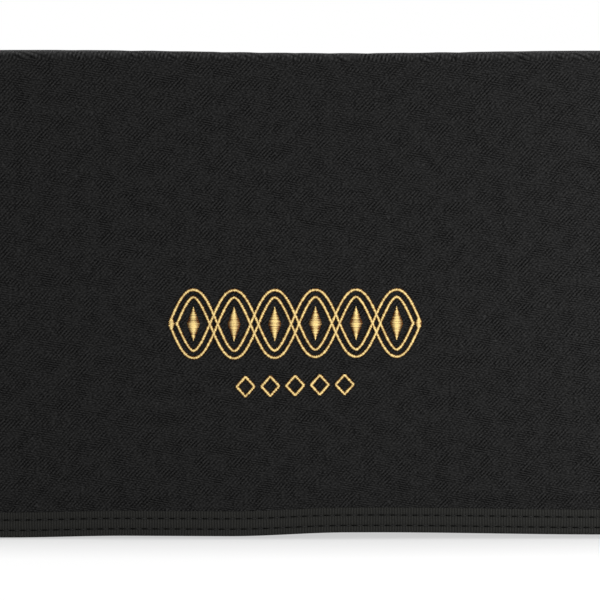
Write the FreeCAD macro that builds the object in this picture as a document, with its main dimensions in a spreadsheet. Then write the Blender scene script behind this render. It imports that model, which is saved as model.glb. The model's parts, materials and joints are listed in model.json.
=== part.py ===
"""A soft-sided flight bag with a full-length bound flap, as a parametric model.

Frame: millimetres, +Z up, the front (the flap) faces -Y, and the origin is the centre of the base on the floor.
"""

import FreeCAD, Part
import math
import os
import Sketcher
from FreeCAD import Placement, Rotation, Vector

DIMENSIONS = {
    # the case
    "body_width": 330,
    "body_depth": 86,
    "body_height": 198,
    "corner_radius": 20,
    "cloth": 1.2,
    "foam": 4.8,
    "rear_foam": 3,
    "lining_cloth": 0.8,
    "piping_radius": 2.2,
    "panel_setback": 0.8,
    "gap": 0.1,
    "board": 2,
    "base_foam_height": 3,
    # grosgrain bindings
    "tape": 0.5,
    "binding_width": 10.3,
    "rim_binding_height": 11,
    # the flap
    "flap_half_width": 168,
    "flap_thickness": 4.8,
    "flap_hem_height": 1.9,
    "flap_axis_height": 203,
    "flap_front_offset": 55,
    "flap_root_offset": 46.6,
    "flap_corner_radius": 28,
    "flap_foam": 2.5,
    "anchor_bottom": 168,
    # gold embroidery
    "thread": 0.6,
    "emblem_width": 107,
    "emblem_height": 30,
    "emblem_level": 91.3,
    "strand_width": 3.2,
    "row_width": 52,
    "row_height": 10,
    "row_level": 65,
    # closures and pockets
    "patch_length": 50,
    "patch_height": 25,
    "patch_thickness": 1.6,
    "patch_level": 42,
    "patch_spread": 95,
    "pocket_half_width": 150,
    "pocket_bottom": 8,
    "pocket_top": 132,
    "pocket_depth": 6.8,
    "pen_loop_width": 15,
    "pen_loop_depth": 9.4,
    "pen_loop_height": 26,
    "pen_loop_bottom": 146,
    "pen_loop_pitch": 22,
    "divider_front": 8,
    "divider_thickness": 5,
    "divider_top": 170,
    # rear zip, trolley band and grab handle
    "zip_half_length": 110,
    "zip_level": 111,
    "zip_window": 10,
    "coil_width": 6,
    "slider_start": 96,
    "slider_length": 11,
    "pull_length": 26,
    "band_half_width": 105,
    "band_bottom": 26,
    "band_height": 60,
    "band_room": 6,
    "webbing": 1.6,
    "handle_half_width": 82,
    "handle_level": 151,
    "handle_height": 25,
    "handle_room": 15,
    # strap rings
    "ring_wire": 2,
    "ring_major": 15,
    "ring_level": 172,
    "ring_standoff": 4.7,
    "tab_width": 24,
    "tab_bottom": 128,
}
PEN_LOOPS = 3
FIRST_PEN_LOOP = -120
BRAID_EYES = 6
ROW_LOZENGES = 5

doc = FreeCAD.newDocument("flight_bag")
sheet = doc.addObject("Spreadsheet::Sheet", "Dims")
nodes = []


class Size:
    """A length that carries its number and the sheet expression that makes it."""

    def __init__(self, value, text):
        self.value = value
        self.text = text

    def combined(self, other, sign, value):
        return Size(value, f"({self.text} {sign} {other.text})")

    def __add__(self, other):
        other = as_size(other)
        return self.combined(other, "+", self.value + other.value)

    def __sub__(self, other):
        other = as_size(other)
        return self.combined(other, "-", self.value - other.value)

    def __mul__(self, other):
        other = as_size(other)
        return self.combined(other, "*", self.value * other.value)

    def __truediv__(self, other):
        other = as_size(other)
        return self.combined(other, "/", self.value / other.value)

    def __neg__(self):
        return as_size(0) - self

    def __radd__(self, other):
        return as_size(other) + self

    def __rsub__(self, other):
        return as_size(other) - self

    def __rmul__(self, other):
        return as_size(other) * self


def as_size(number):
    """Wraps a plain number, and leaves a Size as it is."""
    return number if isinstance(number, Size) else Size(float(number), repr(float(number)))


class Dimensions:
    """The sheet's driving dimensions, each read as a Size by its alias."""

    def __init__(self, table):
        for row, (alias, number) in enumerate(table.items(), start=1):
            sheet.set(f"A{row}", alias.replace("_", " "))
            sheet.set(f"B{row}", str(number))
            sheet.setAlias(f"B{row}", alias)
            setattr(self, alias, Size(float(number), f"Dims.{alias}"))


d = Dimensions(DIMENSIONS)
doc.recompute()

# Places that several pieces share, worked out from the driving dimensions.
half_width = d.body_width / 2
half_depth = d.body_depth / 2
panel_face = half_depth - d.panel_setback
seam_inset = 2 * d.piping_radius + 2 * d.gap
gusset_half_depth = half_depth - seam_inset
wall = d.cloth + d.foam + d.lining_cloth + 2 * d.gap
cavity_half_depth = panel_face - wall
cavity_half_width = half_width - d.cloth - d.gap - d.lining_cloth
lining_bottom = d.cloth + d.board + d.base_foam_height + 3 * d.gap
rim_top = d.body_height + d.gap + d.tape
flap_half = d.flap_thickness / 2
flap_skin = -(d.flap_front_offset + flap_half)
flap_inner = -(d.flap_front_offset - flap_half)
flap_under = d.flap_axis_height - flap_half
flap_over = d.flap_axis_height + flap_half
flap_clear = 3 * d.gap


def drive(item, path, size):
    """Binds one property of a document object to the sheet."""
    item.setExpression(path, as_size(size).text)


def place(item, x=0, y=0, z=0):
    """Moves an object, with its place bound to the sheet."""
    for axis, size in zip("xyz", (x, y, z)):
        drive(item, f"Placement.Base.{axis}", size)
    return item


def keep(item, label):
    """Names an object as one finished sub-part."""
    item.Label = label
    nodes.append(item)
    return item


def slab(name, x, y, z):
    """A box between pairs of low and high places."""
    box = doc.addObject("Part::Box", name)
    for side, (low, high) in zip(("Length", "Width", "Height"), (x, y, z)):
        drive(box, side, high - low)
    return place(box, x[0], y[0], z[0])


def rod(name, radius, length, start, direction):
    """A cylinder of that radius from a start point along an axis direction."""
    cylinder = doc.addObject("Part::Cylinder", name)
    drive(cylinder, "Radius", radius)
    drive(cylinder, "Height", length)
    cylinder.Placement = Placement(Vector(), Rotation(Vector(0, 0, 1), Vector(*direction)))
    return place(cylinder, *start)


def cut(name, base, *tools):
    """The base with each tool taken away."""
    for tool in tools:
        step = doc.addObject("Part::Cut", name)
        step.Base = base
        step.Tool = tool
        base = step
    return base


def fuse(name, *shapes):
    """One solid from several that meet."""
    joined = doc.addObject("Part::MultiFuse", name)
    joined.Shapes = list(shapes)
    joined.Refine = True
    return joined


def group(name, *shapes):
    """Several separate solids that are one sub-part."""
    held = doc.addObject("Part::Compound", name)
    held.Links = list(shapes)
    return held


def mirrored(name, source):
    """The source reflected to the other side of the bag."""
    twin = doc.addObject("Part::Mirroring", name)
    twin.Source = source
    twin.Base = Vector(0, 0, 0)
    twin.Normal = Vector(1, 0, 0)
    return twin


def sketch_on(body, role):
    """An empty sketch on one of a body's own origin planes."""
    sketch = body.newObject("Sketcher::SketchObject", f"{body.Name}_sketch")
    plane = next(f for f in body.Origin.OriginFeatures if f.Role == role)
    sketch.AttachmentSupport = [(plane, "")]
    sketch.MapMode = "FlatFace"
    return sketch


def constrain(sketch, size, *about):
    """Adds one dimensional constraint and binds it to the sheet."""
    kind, *references = about
    index = sketch.addConstraint(Sketcher.Constraint(kind, *references, as_size(size).value))
    drive(sketch, f"Constraints[{index}]", size)


def pad(body, sketch, length):
    """Pads a sketch by a length to both sides of its plane."""
    feature = body.newObject("PartDesign::Pad", f"{body.Name}_pad")
    feature.Profile = sketch
    feature.Midplane = True
    drive(feature, "Length", length)
    return feature


def rounded_plate(name, half, bottom, top, radius, y_low, y_high):
    """A plate across the bag whose two bottom corners are round, between two depths."""
    body = doc.addObject("PartDesign::Body", name)
    sketch = sketch_on(body, "XZ_Plane")
    w, low, high, r = (as_size(size).value for size in (half, bottom, top, radius))
    up = Vector(0, 0, 1)
    left_round = Part.Circle(Vector(r - w, low + r, 0), up, r)
    right_round = Part.Circle(Vector(w - r, low + r, 0), up, r)
    sketch.addGeometry(
        [
            Part.LineSegment(Vector(-w, high, 0), Vector(-w, low + r, 0)),
            Part.ArcOfCircle(left_round, math.pi, 1.5 * math.pi),
            Part.LineSegment(Vector(r - w, low, 0), Vector(w - r, low, 0)),
            Part.ArcOfCircle(right_round, 1.5 * math.pi, 2 * math.pi),
            Part.LineSegment(Vector(w, low + r, 0), Vector(w, high, 0)),
            Part.LineSegment(Vector(w, high, 0), Vector(-w, high, 0)),
        ],
        False,
    )
    for first in range(4):
        sketch.addConstraint(Sketcher.Constraint("Tangent", first, 2, first + 1, 1))
    sketch.addConstraint(Sketcher.Constraint("Coincident", 4, 2, 5, 1))
    sketch.addConstraint(Sketcher.Constraint("Coincident", 5, 2, 0, 1))
    sketch.addConstraint(Sketcher.Constraint("Vertical", 0))
    sketch.addConstraint(Sketcher.Constraint("Vertical", 4))
    sketch.addConstraint(Sketcher.Constraint("Horizontal", 2))
    sketch.addConstraint(Sketcher.Constraint("Symmetric", 0, 1, 4, 2, -2))
    sketch.addConstraint(Sketcher.Constraint("Equal", 1, 3))
    constrain(sketch, radius, "Radius", 1)
    constrain(sketch, 2 * as_size(half), "DistanceX", 0, 1, 4, 2)
    constrain(sketch, bottom, "DistanceY", -1, 1, 2, 1)
    constrain(sketch, top, "DistanceY", -1, 1, 0, 1)
    pad(body, sketch, as_size(y_high) - y_low)
    return place(body, 0, (as_size(y_low) + y_high) / 2, 0)


def profile_bar(name, points, role, length, **at):
    """A straight-sided profile padded to both sides of an origin plane, each corner bound to the sheet."""
    body = doc.addObject("PartDesign::Body", name)
    sketch = sketch_on(body, role)
    corners = [(as_size(x), as_size(y)) for x, y in points]
    places = [Vector(x.value, y.value, 0) for x, y in corners]
    for start, end in zip(places, places[1:] + places[:1]):
        sketch.addGeometry(Part.LineSegment(start, end), False)
    for line in range(len(corners)):
        following = (line + 1) % len(corners)
        sketch.addConstraint(Sketcher.Constraint("Coincident", line, 2, following, 1))
    for line, (x, y) in enumerate(corners):
        for size, kind, axis in ((x, "DistanceX", -2), (y, "DistanceY", -1)):
            if size.value:
                constrain(sketch, size, kind, -1, 1, line, 1)
            else:
                sketch.addConstraint(Sketcher.Constraint("PointOnObject", line, 1, axis))
    pad(body, sketch, length)
    return place(body, **at)


def channel(name, x, y, z, slot_y, slot_top):
    """A folded tape over a straight upper edge: a bar with a slot open below."""
    bar = slab(f"{name}_bar", x, y, z)
    slot = slab(f"{name}_slot", (x[0] - 1, x[1] + 1), slot_y, (z[0] - 1, slot_top))
    return cut(name, bar, slot)


# ---- the case ----------------------------------------------------------------------------------


def case_panels():
    """The outer cloth of the front and back, with their foam, and the zip's window in the back."""
    half = half_width - seam_inset
    radius = d.corner_radius - seam_inset
    inner_face = panel_face - d.cloth
    front = rounded_plate("front", half, seam_inset, d.body_height, radius, -panel_face, -inner_face)
    keep(front, "front_panel")
    back = rounded_plate("back", half, seam_inset, d.body_height, radius, inner_face, panel_face)
    low = d.zip_level - d.zip_window / 2
    window = slab(
        "zip_window",
        (-d.zip_half_length, d.zip_half_length),
        (inner_face - 1, panel_face + 1),
        (low, low + d.zip_window),
    )
    keep(cut("back_cut", back, window), "back_panel")

    foam_half = half - 4 * d.gap
    foam_bottom = seam_inset + 3.4
    foam_top = d.body_height - 2
    front_foam_face = -(inner_face - d.gap)
    front_foam = rounded_plate(
        "front_core", foam_half, foam_bottom, foam_top, radius, front_foam_face, front_foam_face + d.foam
    )
    keep(front_foam, "front_foam")
    rear_low = cavity_half_depth + d.lining_cloth + d.gap
    back_foam = rounded_plate(
        "back_core", foam_half, foam_bottom, foam_top, radius, rear_low, rear_low + d.rear_foam
    )
    keep(back_foam, "back_foam")


def gussets():
    """The side walls, each turning into the base round a quarter circle, and the flat base cloth."""
    body = doc.addObject("PartDesign::Body", "gusset")
    sketch = sketch_on(body, "XZ_Plane")
    outer = d.corner_radius
    inner = d.corner_radius - d.cloth
    rise = d.body_height - d.corner_radius
    up = Vector(0, 0, 1)
    start, end = 1.5 * math.pi, 2 * math.pi
    sketch.addGeometry(
        [
            Part.ArcOfCircle(Part.Circle(Vector(), up, outer.value), start, end),
            Part.LineSegment(Vector(outer.value, 0, 0), Vector(outer.value, rise.value, 0)),
            Part.LineSegment(Vector(outer.value, rise.value, 0), Vector(inner.value, rise.value, 0)),
            Part.LineSegment(Vector(inner.value, rise.value, 0), Vector(inner.value, 0, 0)),
            Part.ArcOfCircle(Part.Circle(Vector(), up, inner.value), start, end),
            Part.LineSegment(Vector(0, -inner.value, 0), Vector(0, -outer.value, 0)),
        ],
        False,
    )
    for first, second, kind in (((0, 2), (1, 1), "Tangent"), ((3, 2), (4, 2), "Tangent")):
        sketch.addConstraint(Sketcher.Constraint(kind, *first, *second))
    for first, second in (((1, 2), (2, 1)), ((2, 2), (3, 1)), ((4, 1), (5, 1)), ((5, 2), (0, 1))):
        sketch.addConstraint(Sketcher.Constraint("Coincident", *first, *second))
    for arc in (0, 4):
        sketch.addConstraint(Sketcher.Constraint("Coincident", arc, 3, -1, 1))
    sketch.addConstraint(Sketcher.Constraint("Vertical", 1))
    sketch.addConstraint(Sketcher.Constraint("Horizontal", 2))
    sketch.addConstraint(Sketcher.Constraint("PointOnObject", 5, 2, -2))
    sketch.addConstraint(Sketcher.Constraint("Vertical", 5))
    constrain(sketch, outer, "Radius", 0)
    constrain(sketch, inner, "Radius", 4)
    constrain(sketch, rise, "DistanceY", -1, 1, 1, 2)
    pad(body, sketch, 2 * gusset_half_depth)
    place(body, half_width - d.corner_radius, 0, d.corner_radius)
    keep(body, "side_gusset_right")
    keep(mirrored("gusset_twin", body), "side_gusset_left")

    flat = half_width - d.corner_radius
    depth = (-gusset_half_depth, gusset_half_depth)
    keep(slab("base", (-flat, flat), depth, (0, d.cloth)), "bottom_panel")
    board_bottom = d.cloth + d.gap
    foam_bottom = board_bottom + d.board + d.gap
    inset = flat - 2
    keep(slab("board_box", (-inset, inset), depth, (board_bottom, board_bottom + d.board)), "base_board")
    foam_level = (foam_bottom, foam_bottom + d.base_foam_height)
    keep(slab("base_core", (-inset, inset), (-cavity_half_depth, cavity_half_depth), foam_level), "base_foam")


def seam_piping():
    """A round cord in each of the two seams that join the gusset to the front and the back."""
    run = half_width - d.piping_radius
    turn = d.corner_radius - d.piping_radius
    flat = half_width - d.corner_radius
    rise = d.body_height - d.rim_binding_height - 2 - d.corner_radius
    for label, sign in (("front_piping", -1), ("back_piping", 1)):
        y = sign * (half_depth - d.piping_radius)
        pieces = [rod(f"{label}_foot", d.piping_radius, 2 * flat, (-flat, y, d.piping_radius), (1, 0, 0))]
        for side, start_angle in ((1, 270), (-1, 180)):
            leg = rod(f"{label}_leg", d.piping_radius, rise, (side * run, y, d.corner_radius), (0, 0, 1))
            bend = doc.addObject("Part::Torus", f"{label}_bend")
            drive(bend, "Radius1", turn)
            drive(bend, "Radius2", d.piping_radius)
            bend.Angle3 = 90
            turned = Rotation(Vector(1, 0, 0), 90) * Rotation(Vector(0, 0, 1), start_angle)
            bend.Placement = Placement(Vector(), turned)
            place(bend, side * flat, y, d.corner_radius)
            pieces += [leg, bend]
        keep(fuse(f"{label}_run", *pieces), label)


def lining():
    """The drop-in lining: an open-topped bag of thin cloth."""
    radius = d.corner_radius - d.cloth - d.gap
    outside = rounded_plate(
        "lining_outside",
        cavity_half_width + d.lining_cloth,
        lining_bottom,
        d.body_height,
        radius,
        -(cavity_half_depth + d.lining_cloth),
        cavity_half_depth + d.lining_cloth,
    )
    inside = rounded_plate(
        "lining_inside",
        cavity_half_width,
        lining_bottom + d.lining_cloth,
        d.body_height + 5,
        radius - d.lining_cloth,
        -cavity_half_depth,
        cavity_half_depth,
    )
    keep(cut("lining_shell", outside, inside), "lining")


def mouth_binding():
    """Grosgrain folded over the raw edges of cloth, foam and lining all round the mouth."""
    hair = d.gap / 2
    low = d.body_height - d.rim_binding_height

    def ring(name, grow, x_in, y_in, z):
        x, y = half_width + grow, panel_face + grow
        outside = slab(f"{name}_outside", (-x, x), (-y, y), z)
        inside = slab(f"{name}_inside", (-x_in, x_in), (-y_in, y_in), (z[0] - 1, z[1] + 1))
        return cut(name, outside, inside)

    tape = ring(
        "rim", d.tape + hair, cavity_half_width - d.tape - hair, cavity_half_depth - d.tape - hair, (low, rim_top)
    )
    slot = ring("rim_slot", hair, cavity_half_width - hair, cavity_half_depth - hair, (low - 1, rim_top - d.tape))
    keep(cut("rim_channel", tape, slot), "mouth_binding")


# ---- the flap ----------------------------------------------------------------------------------


def flap_top():
    """The part of the flap that bridges the mouth, from its root roll at the back to the front fold."""
    half = d.flap_half_width
    front_end = flap_inner + flap_clear
    root = d.flap_root_offset
    roll = rod("root_roll", flap_half, 2 * half, (-half, root, d.flap_axis_height), (1, 0, 0))
    plate = slab("bridge_plate", (-half, half), (front_end, root), (flap_over - d.cloth, flap_over))
    keep(fuse("bridge", plate, roll), "flap_top_shell")

    under = root - flap_half - flap_clear
    lining_level = (flap_under, flap_under + d.lining_cloth)
    keep(slab("bridge_lining", (-half, half), (front_end, under), lining_level), "flap_top_lining")
    foam_half = half - d.binding_width - d.gap * 7
    foam_low = flap_under + d.lining_cloth + d.gap
    foam_run = (front_end + 3, under - 1.8)
    keep(slab("bridge_core", (-foam_half, foam_half), foam_run, (foam_low, foam_low + d.flap_foam)), "flap_top_foam")

    hair = d.gap / 2
    sides = []
    for sign, name in ((-1, "left"), (1, "right")):
        x_pair = sorted((sign * (half - d.binding_width), sign * (half + d.tape + hair)), key=lambda s: s.value)
        slot_pair = sorted((sign * (half - d.binding_width - 1), sign * (half + hair)), key=lambda s: s.value)
        bar = slab(
            f"bridge_tape_{name}", x_pair, (front_end + d.tape, under), (flap_under - d.tape - hair, flap_over + d.tape + hair)
        )
        slot = slab(
            f"bridge_slot_{name}", slot_pair, (front_end - 1, under + 1), (flap_under - hair, flap_over + hair)
        )
        sides.append(cut(f"bridge_channel_{name}", bar, slot))
    keep(group("bridge_tapes", *sides), "flap_top_binding")


def flap_front():
    """The part of the flap that hangs down the front, from the fold's roll to the bound hem."""
    half = d.flap_half_width
    hem = d.flap_hem_height
    corner = d.flap_corner_radius
    axis = d.flap_axis_height
    roll = rod("fold_roll", flap_half, 2 * half, (-half, -d.flap_front_offset, axis), (1, 0, 0))
    plate = rounded_plate("drop_plate", half, hem, axis, corner, flap_skin, flap_skin + d.cloth)
    keep(fuse("drop", plate, roll), "flap_front_shell")

    edge_top = flap_under - flap_clear
    drop_lining = rounded_plate(
        "drop_lining", half, hem, edge_top, corner, flap_inner - d.lining_cloth, flap_inner
    )
    keep(drop_lining, "flap_front_lining")
    foam_half = half - d.binding_width - d.gap * 7
    foam_back = flap_inner - d.lining_cloth - d.gap
    drop_core = rounded_plate(
        "drop_core",
        foam_half,
        hem + d.binding_width + d.gap * 4,
        edge_top - 1.4,
        corner - d.binding_width - d.gap * 4,
        foam_back - d.flap_foam,
        foam_back,
    )
    keep(drop_core, "flap_front_foam")

    hair = d.gap / 2
    wrap = d.tape + hair
    outside = rounded_plate(
        "hem_outside", half + wrap, hem - wrap, edge_top - 2 * d.tape, corner + wrap, flap_skin - wrap, flap_inner + wrap
    )
    window = rounded_plate(
        "hem_window",
        half - d.binding_width,
        hem + d.binding_width,
        edge_top + 10,
        corner - d.binding_width,
        flap_skin - 2,
        flap_inner + 2,
    )
    slot = rounded_plate(
        "hem_slot", half + hair, hem - hair, edge_top + 10, corner + hair, flap_skin - hair, flap_inner + hair
    )
    keep(cut("hem_channel", outside, window, slot), "flap_front_binding")


def anchor_strip():
    """The strip of webbing that holds the flap's root on the back."""
    half = half_width - 5
    y = half_depth
    levels = (d.anchor_bottom, flap_under - 3 * d.tape)
    keep(slab("anchor", (-half, half), (y, y + d.cloth), levels), "flap_anchor_strip")


def lozenge(x, half_width_here, half_height_here):
    """A flat diamond standing on its point."""
    points = [
        Vector(x, 0, half_height_here),
        Vector(x + half_width_here, 0, 0),
        Vector(x, 0, -half_height_here),
        Vector(x - half_width_here, 0, 0),
    ]
    return Part.Face(Part.makePolygon(points + points[:1]))


def strand(reach, swing, width, sign):
    """A flat ribbon of even width that follows a sine wave across the emblem."""
    steps = BRAID_EYES * 12
    upper, lower = [], []
    for step in range(steps + 1):
        angle = BRAID_EYES * math.pi * step / steps
        x = reach * (2 * step / steps - 1)
        slope = sign * swing * BRAID_EYES * math.pi / (2 * reach) * math.cos(angle)
        across = Vector(-slope, 0, 1).normalize() * (width / 2)
        middle = Vector(x, 0, sign * swing * math.sin(angle))
        upper.append(middle + across)
        lower.append(middle - across)
    edges = []
    for points in (upper, lower):
        curve = Part.BSplineCurve()
        curve.interpolate(points)
        edges.append(curve.toShape())
    ends = [Part.LineSegment(upper[place], lower[place]).toShape() for place in (0, -1)]
    return Part.Face(Part.Wire(Part.sortEdges(edges + ends)[0]))


def embroidery():
    """A braid of two waving strands with a lozenge in each eye, and a row of lozenges below."""
    thread = Vector(0, -d.thread.value, 0)
    width = d.strand_width.value
    swing = (d.emblem_height.value - width) / 2
    reach = (d.emblem_width.value - width) / 2
    faces = [strand(reach, swing, width, sign) for sign in (1, -1)]
    eye = 2 * reach / BRAID_EYES
    for number in range(BRAID_EYES):
        faces.append(lozenge((number + 0.5) * eye - reach, 0.19 * eye, 0.55 * swing))
    solids = [face.extrude(thread) for face in faces]
    emblem = doc.addObject("Part::Feature", "emblem")
    emblem.Shape = solids[0].multiFuse(solids[1:])
    emblem.Placement = Placement(Vector(0, flap_skin.value, d.emblem_level.value), Rotation())
    keep(emblem, "emblem_embroidery")

    row = doc.addObject("Part::Feature", "row")
    pitch = d.row_width.value / ROW_LOZENGES
    half_high = d.row_height.value / 2
    rings = []
    for number in range(ROW_LOZENGES):
        x = (number - (ROW_LOZENGES - 1) / 2) * pitch
        ring = lozenge(x, 0.44 * pitch, half_high).cut(lozenge(x, 0.44 * pitch - 2.4, half_high - 2.6))
        rings += ring.extrude(thread).Solids
    row.Shape = Part.makeCompound(rings)
    row.Placement = Placement(Vector(0, flap_skin.value, d.row_level.value), Rotation())
    keep(row, "row_embroidery")


# ---- closures, pockets and divider ---------------------------------------------------------------


def hook_and_loop():
    """Two hook patches inside the flap, and the loop patches they meet on the front pocket."""
    half_length = d.patch_length / 2
    half_height = d.patch_height / 2
    levels = (d.patch_level - half_height, d.patch_level + half_height)
    pocket_face = -(panel_face + d.pocket_depth)
    for label, y in (
        ("flap_hook_patches", (flap_inner, flap_inner + d.patch_thickness)),
        ("pocket_loop_patches", (pocket_face - d.patch_thickness, pocket_face)),
    ):
        pair = []
        for sign in (-1, 1):
            middle = sign * d.patch_spread
            pair.append(slab(f"{label}_one", (middle - half_length, middle + half_length), y, levels))
        keep(group(f"{label}_pair", *pair), label)


def front_pocket():
    """A patch pocket on the front panel, with a bound top edge and elastic pen loops above it."""
    half = d.pocket_half_width
    face = -(panel_face + d.pocket_depth)
    back = -(panel_face + d.gap)
    shell = slab("pocket_block", (-half, half), (face, back), (d.pocket_bottom, d.pocket_top))
    room = slab("pocket_room", (1 - half, half - 1), (face + 1, back + 1), (d.pocket_bottom + 1, d.pocket_top + 1))
    keep(cut("pocket_tray", shell, room), "front_pocket")

    hair = d.gap / 2
    edge = half - 1 - d.gap
    keep(
        channel(
            "pocket_tape",
            (-edge, edge),
            (face - hair - d.tape, face + 1 + hair + d.tape),
            (d.pocket_top - d.binding_width, d.pocket_top + hair + d.tape),
            (face - hair, face + 1 + hair),
            d.pocket_top + hair,
        ),
        "front_pocket_binding",
    )

    loops = []
    for number in range(PEN_LOOPS):
        x = FIRST_PEN_LOOP + number * d.pen_loop_pitch
        half_loop = d.pen_loop_width / 2
        top = d.pen_loop_bottom + d.pen_loop_height
        out = -(panel_face + d.pen_loop_depth)
        arch = slab(f"pen_arch_{number}", (x - half_loop, x + half_loop), (out, back), (d.pen_loop_bottom, top))
        bore = slab(
            f"pen_room_{number}",
            (x - half_loop + 1, x + half_loop - 1),
            (out + 1, back + 1),
            (d.pen_loop_bottom - 1, top + 1),
        )
        loops.append(cut(f"pen_loop_{number}", arch, bore))
    keep(group("pen_loop_row", *loops), "pen_loops")


def divider():
    """The padded divider, its bound top edge, and the loop strips on the lining that hold it."""
    half = cavity_half_width - 1.9
    low = d.divider_front
    high = d.divider_front + d.divider_thickness
    bottom = lining_bottom + d.lining_cloth + 5 * d.gap
    plate = rounded_plate("divider_plate", half, bottom, d.divider_top, d.corner_radius - 2, low, high)
    keep(plate, "divider_pad")
    hair = d.gap / 2
    keep(
        channel(
            "divider_tape",
            (-half, half),
            (low - hair - d.tape, high + hair + d.tape),
            (d.divider_top - d.binding_width, d.divider_top + hair + d.tape),
            (low - hair, high + hair),
            d.divider_top + hair,
        ),
        "divider_binding",
    )
    strips = []
    for sign in (-1, 1):
        x_pair = sorted(
            (sign * (half + 2 * d.gap), sign * (cavity_half_width - d.gap)), key=lambda s: s.value
        )
        strips.append(slab("grip_strip", x_pair, (low - 8, high + 8), (30, 160)))
    keep(group("grip_strips", *strips), "divider_loop_strips")


# ---- rear zip, trolley band and grab handle --------------------------------------------------------


def zipper():
    """A coil zip in the back panel, with its tape, stops, slider and pull, over a flat pocket bag."""
    inner_face = panel_face - d.cloth
    half = d.zip_half_length
    level = d.zip_level
    tape_back = inner_face - d.gap
    tape_front = tape_back - d.lining_cloth
    keep(
        slab("zip_tape", (-half - 8, half + 8), (tape_front, tape_back), (level - 13, level + 13)),
        "zipper_tape",
    )
    bag_back = tape_front - d.gap
    keep(
        slab("pocket_bag", (-half - 10, half + 10), (bag_back - d.lining_cloth, bag_back), (20, level + 15)),
        "rear_pocket_bag",
    )
    coil_half = d.coil_width / 2
    coil_face = tape_back + 2.4
    keep(
        slab("coil", (4 - half, half - 4), (tape_back, coil_face), (level - coil_half, level + coil_half)),
        "zipper_coil",
    )
    stops = []
    for sign in (-1, 1):
        x_pair = sorted((sign * (half - 3.8), sign * (half - 1)), key=lambda s: s.value)
        stops.append(slab("stop", x_pair, (tape_back, coil_face), (level - 3.6, level + 3.6)))
    keep(group("stops", *stops), "zipper_stops")

    x = -d.slider_start
    half_slider = d.slider_length / 2
    skin = coil_face + 1.6
    body_block = slab(
        "slider_block", (x - half_slider, x + half_slider), (tape_back + 0.4, skin), (level - 4.6, level + 4.6)
    )
    track = slab(
        "slider_track",
        (x - half_slider - 1, x + half_slider + 1),
        (tape_back - 1, coil_face + 0.3),
        (level - coil_half - 0.3, level + coil_half + 0.3),
    )
    pivot = skin + 1.7
    lug = slab("slider_lug", (x - 2.2, x + 2.2), (skin - 0.3, pivot), (level - 2, level + 2))
    crown = rod("slider_crown", 2.2, 4, (x, pivot, level - 2), (0, 0, 1))
    eye = rod("slider_eye", 1.1, 6, (x, pivot, level - 3), (0, 0, 1))
    keep(cut("slider", fuse("slider_body", cut("slider_shoe", body_block, track), lug, crown), eye), "zipper_slider")

    pin = rod("pull_pin", 1, 7, (x, pivot, level - 3.5), (0, 0, 1))
    arms = []
    for low in (-3.5, 2.3):
        arms.append(slab("pull_arm", (x - 1, x + 6), (pivot - 1, pivot + 1), (level + low, level + low + 1.2)))
    tab = slab(
        "pull_tab", (x + 5, x + d.pull_length), (pivot - 0.8, pivot + 0.8), (level - 3.5, level + 3.5)
    )
    hole = rod("pull_hole", 1.5, 6, (x + d.pull_length - 4, pivot - 3, level), (0, 1, 0))
    keep(cut("pull", fuse("pull_body", pin, *arms, tab), hole), "zipper_pull")


def hat_profile(half, flange, room, thickness, ramp):
    """Half-way round a strap sewn down at both ends: flanges on the panel and a bow that stands off it."""
    inner = panel_face + 2 * d.gap
    outer = inner + thickness
    bow = inner + room
    return [
        (-half, inner),
        (-half + flange, inner),
        (-half + flange + ramp, bow),
        (half - flange - ramp, bow),
        (half - flange, inner),
        (half, inner),
        (half, outer),
        (half - flange + 0.8, outer),
        (half - flange - ramp + 0.8, bow + thickness),
        (-half + flange + ramp - 0.8, bow + thickness),
        (-half + flange - 0.8, outer),
        (-half, outer),
    ]


def rear_straps():
    """The trolley band across the lower back, and the bowed webbing handle above the zip."""
    band = hat_profile(d.band_half_width, 10, d.band_room, d.cloth, 4)
    keep(
        profile_bar("band", band, "XY_Plane", d.band_height, z=d.band_bottom + d.band_height / 2),
        "trolley_band",
    )
    handle = hat_profile(d.handle_half_width, 20, d.handle_room, d.webbing, 22)
    keep(profile_bar("handle", handle, "XY_Plane", d.handle_height, z=d.handle_level), "grab_handle")


# ---- strap rings -----------------------------------------------------------------------------------


def strap_rings():
    """A D-ring on each side, its straight bar held in the eye of a folded webbing tab."""
    x = half_width + d.ring_standoff
    z = d.ring_level
    half_tab = d.tab_width / 2
    reach = d.ring_major
    bar = rod("ring_bar", d.ring_wire, 2 * reach, (x, -reach, z), (0, 1, 0))
    arc = doc.addObject("Part::Torus", "ring_arc")
    drive(arc, "Radius1", reach)
    drive(arc, "Radius2", d.ring_wire)
    arc.Angle3 = 180
    arc.Placement = Placement(Vector(), Rotation(Vector(0, 1, 0), 90) * Rotation(Vector(0, 0, 1), -90))
    place(arc, x, 0, z)
    ends = []
    for sign in (-1, 1):
        ball = doc.addObject("Part::Sphere", "ring_end")
        drive(ball, "Radius", d.ring_wire)
        ends.append(place(ball, x, sign * reach, z))
    ring = fuse("ring", bar, arc, *ends)
    keep(ring, "d_ring_right")
    keep(mirrored("ring_twin", ring), "d_ring_left")

    depth = (-half_tab, half_tab)
    inner_layer = slab("tab_inner", (half_width, half_width + 1.2), depth, (d.tab_bottom, z))
    outer_layer = slab("tab_outer", (half_width + 1.2, half_width + 2.4), depth, (d.tab_bottom, z - 1))
    neck = slab("tab_neck", (half_width, x), depth, (z - 2.9, z + 2.9))
    roll = rod("tab_roll", d.ring_wire + 1.3, d.tab_width, (x, -half_tab, z), (0, 1, 0))
    eye = rod("tab_eye", d.ring_wire + 0.1, d.tab_width + 2, (x, -half_tab - 1, z), (0, 1, 0))
    tab = cut("tab", fuse("tab_body", inner_layer, outer_layer, neck, roll), eye)
    keep(tab, "ring_tab_right")
    keep(mirrored("tab_twin", tab), "ring_tab_left")


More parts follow.
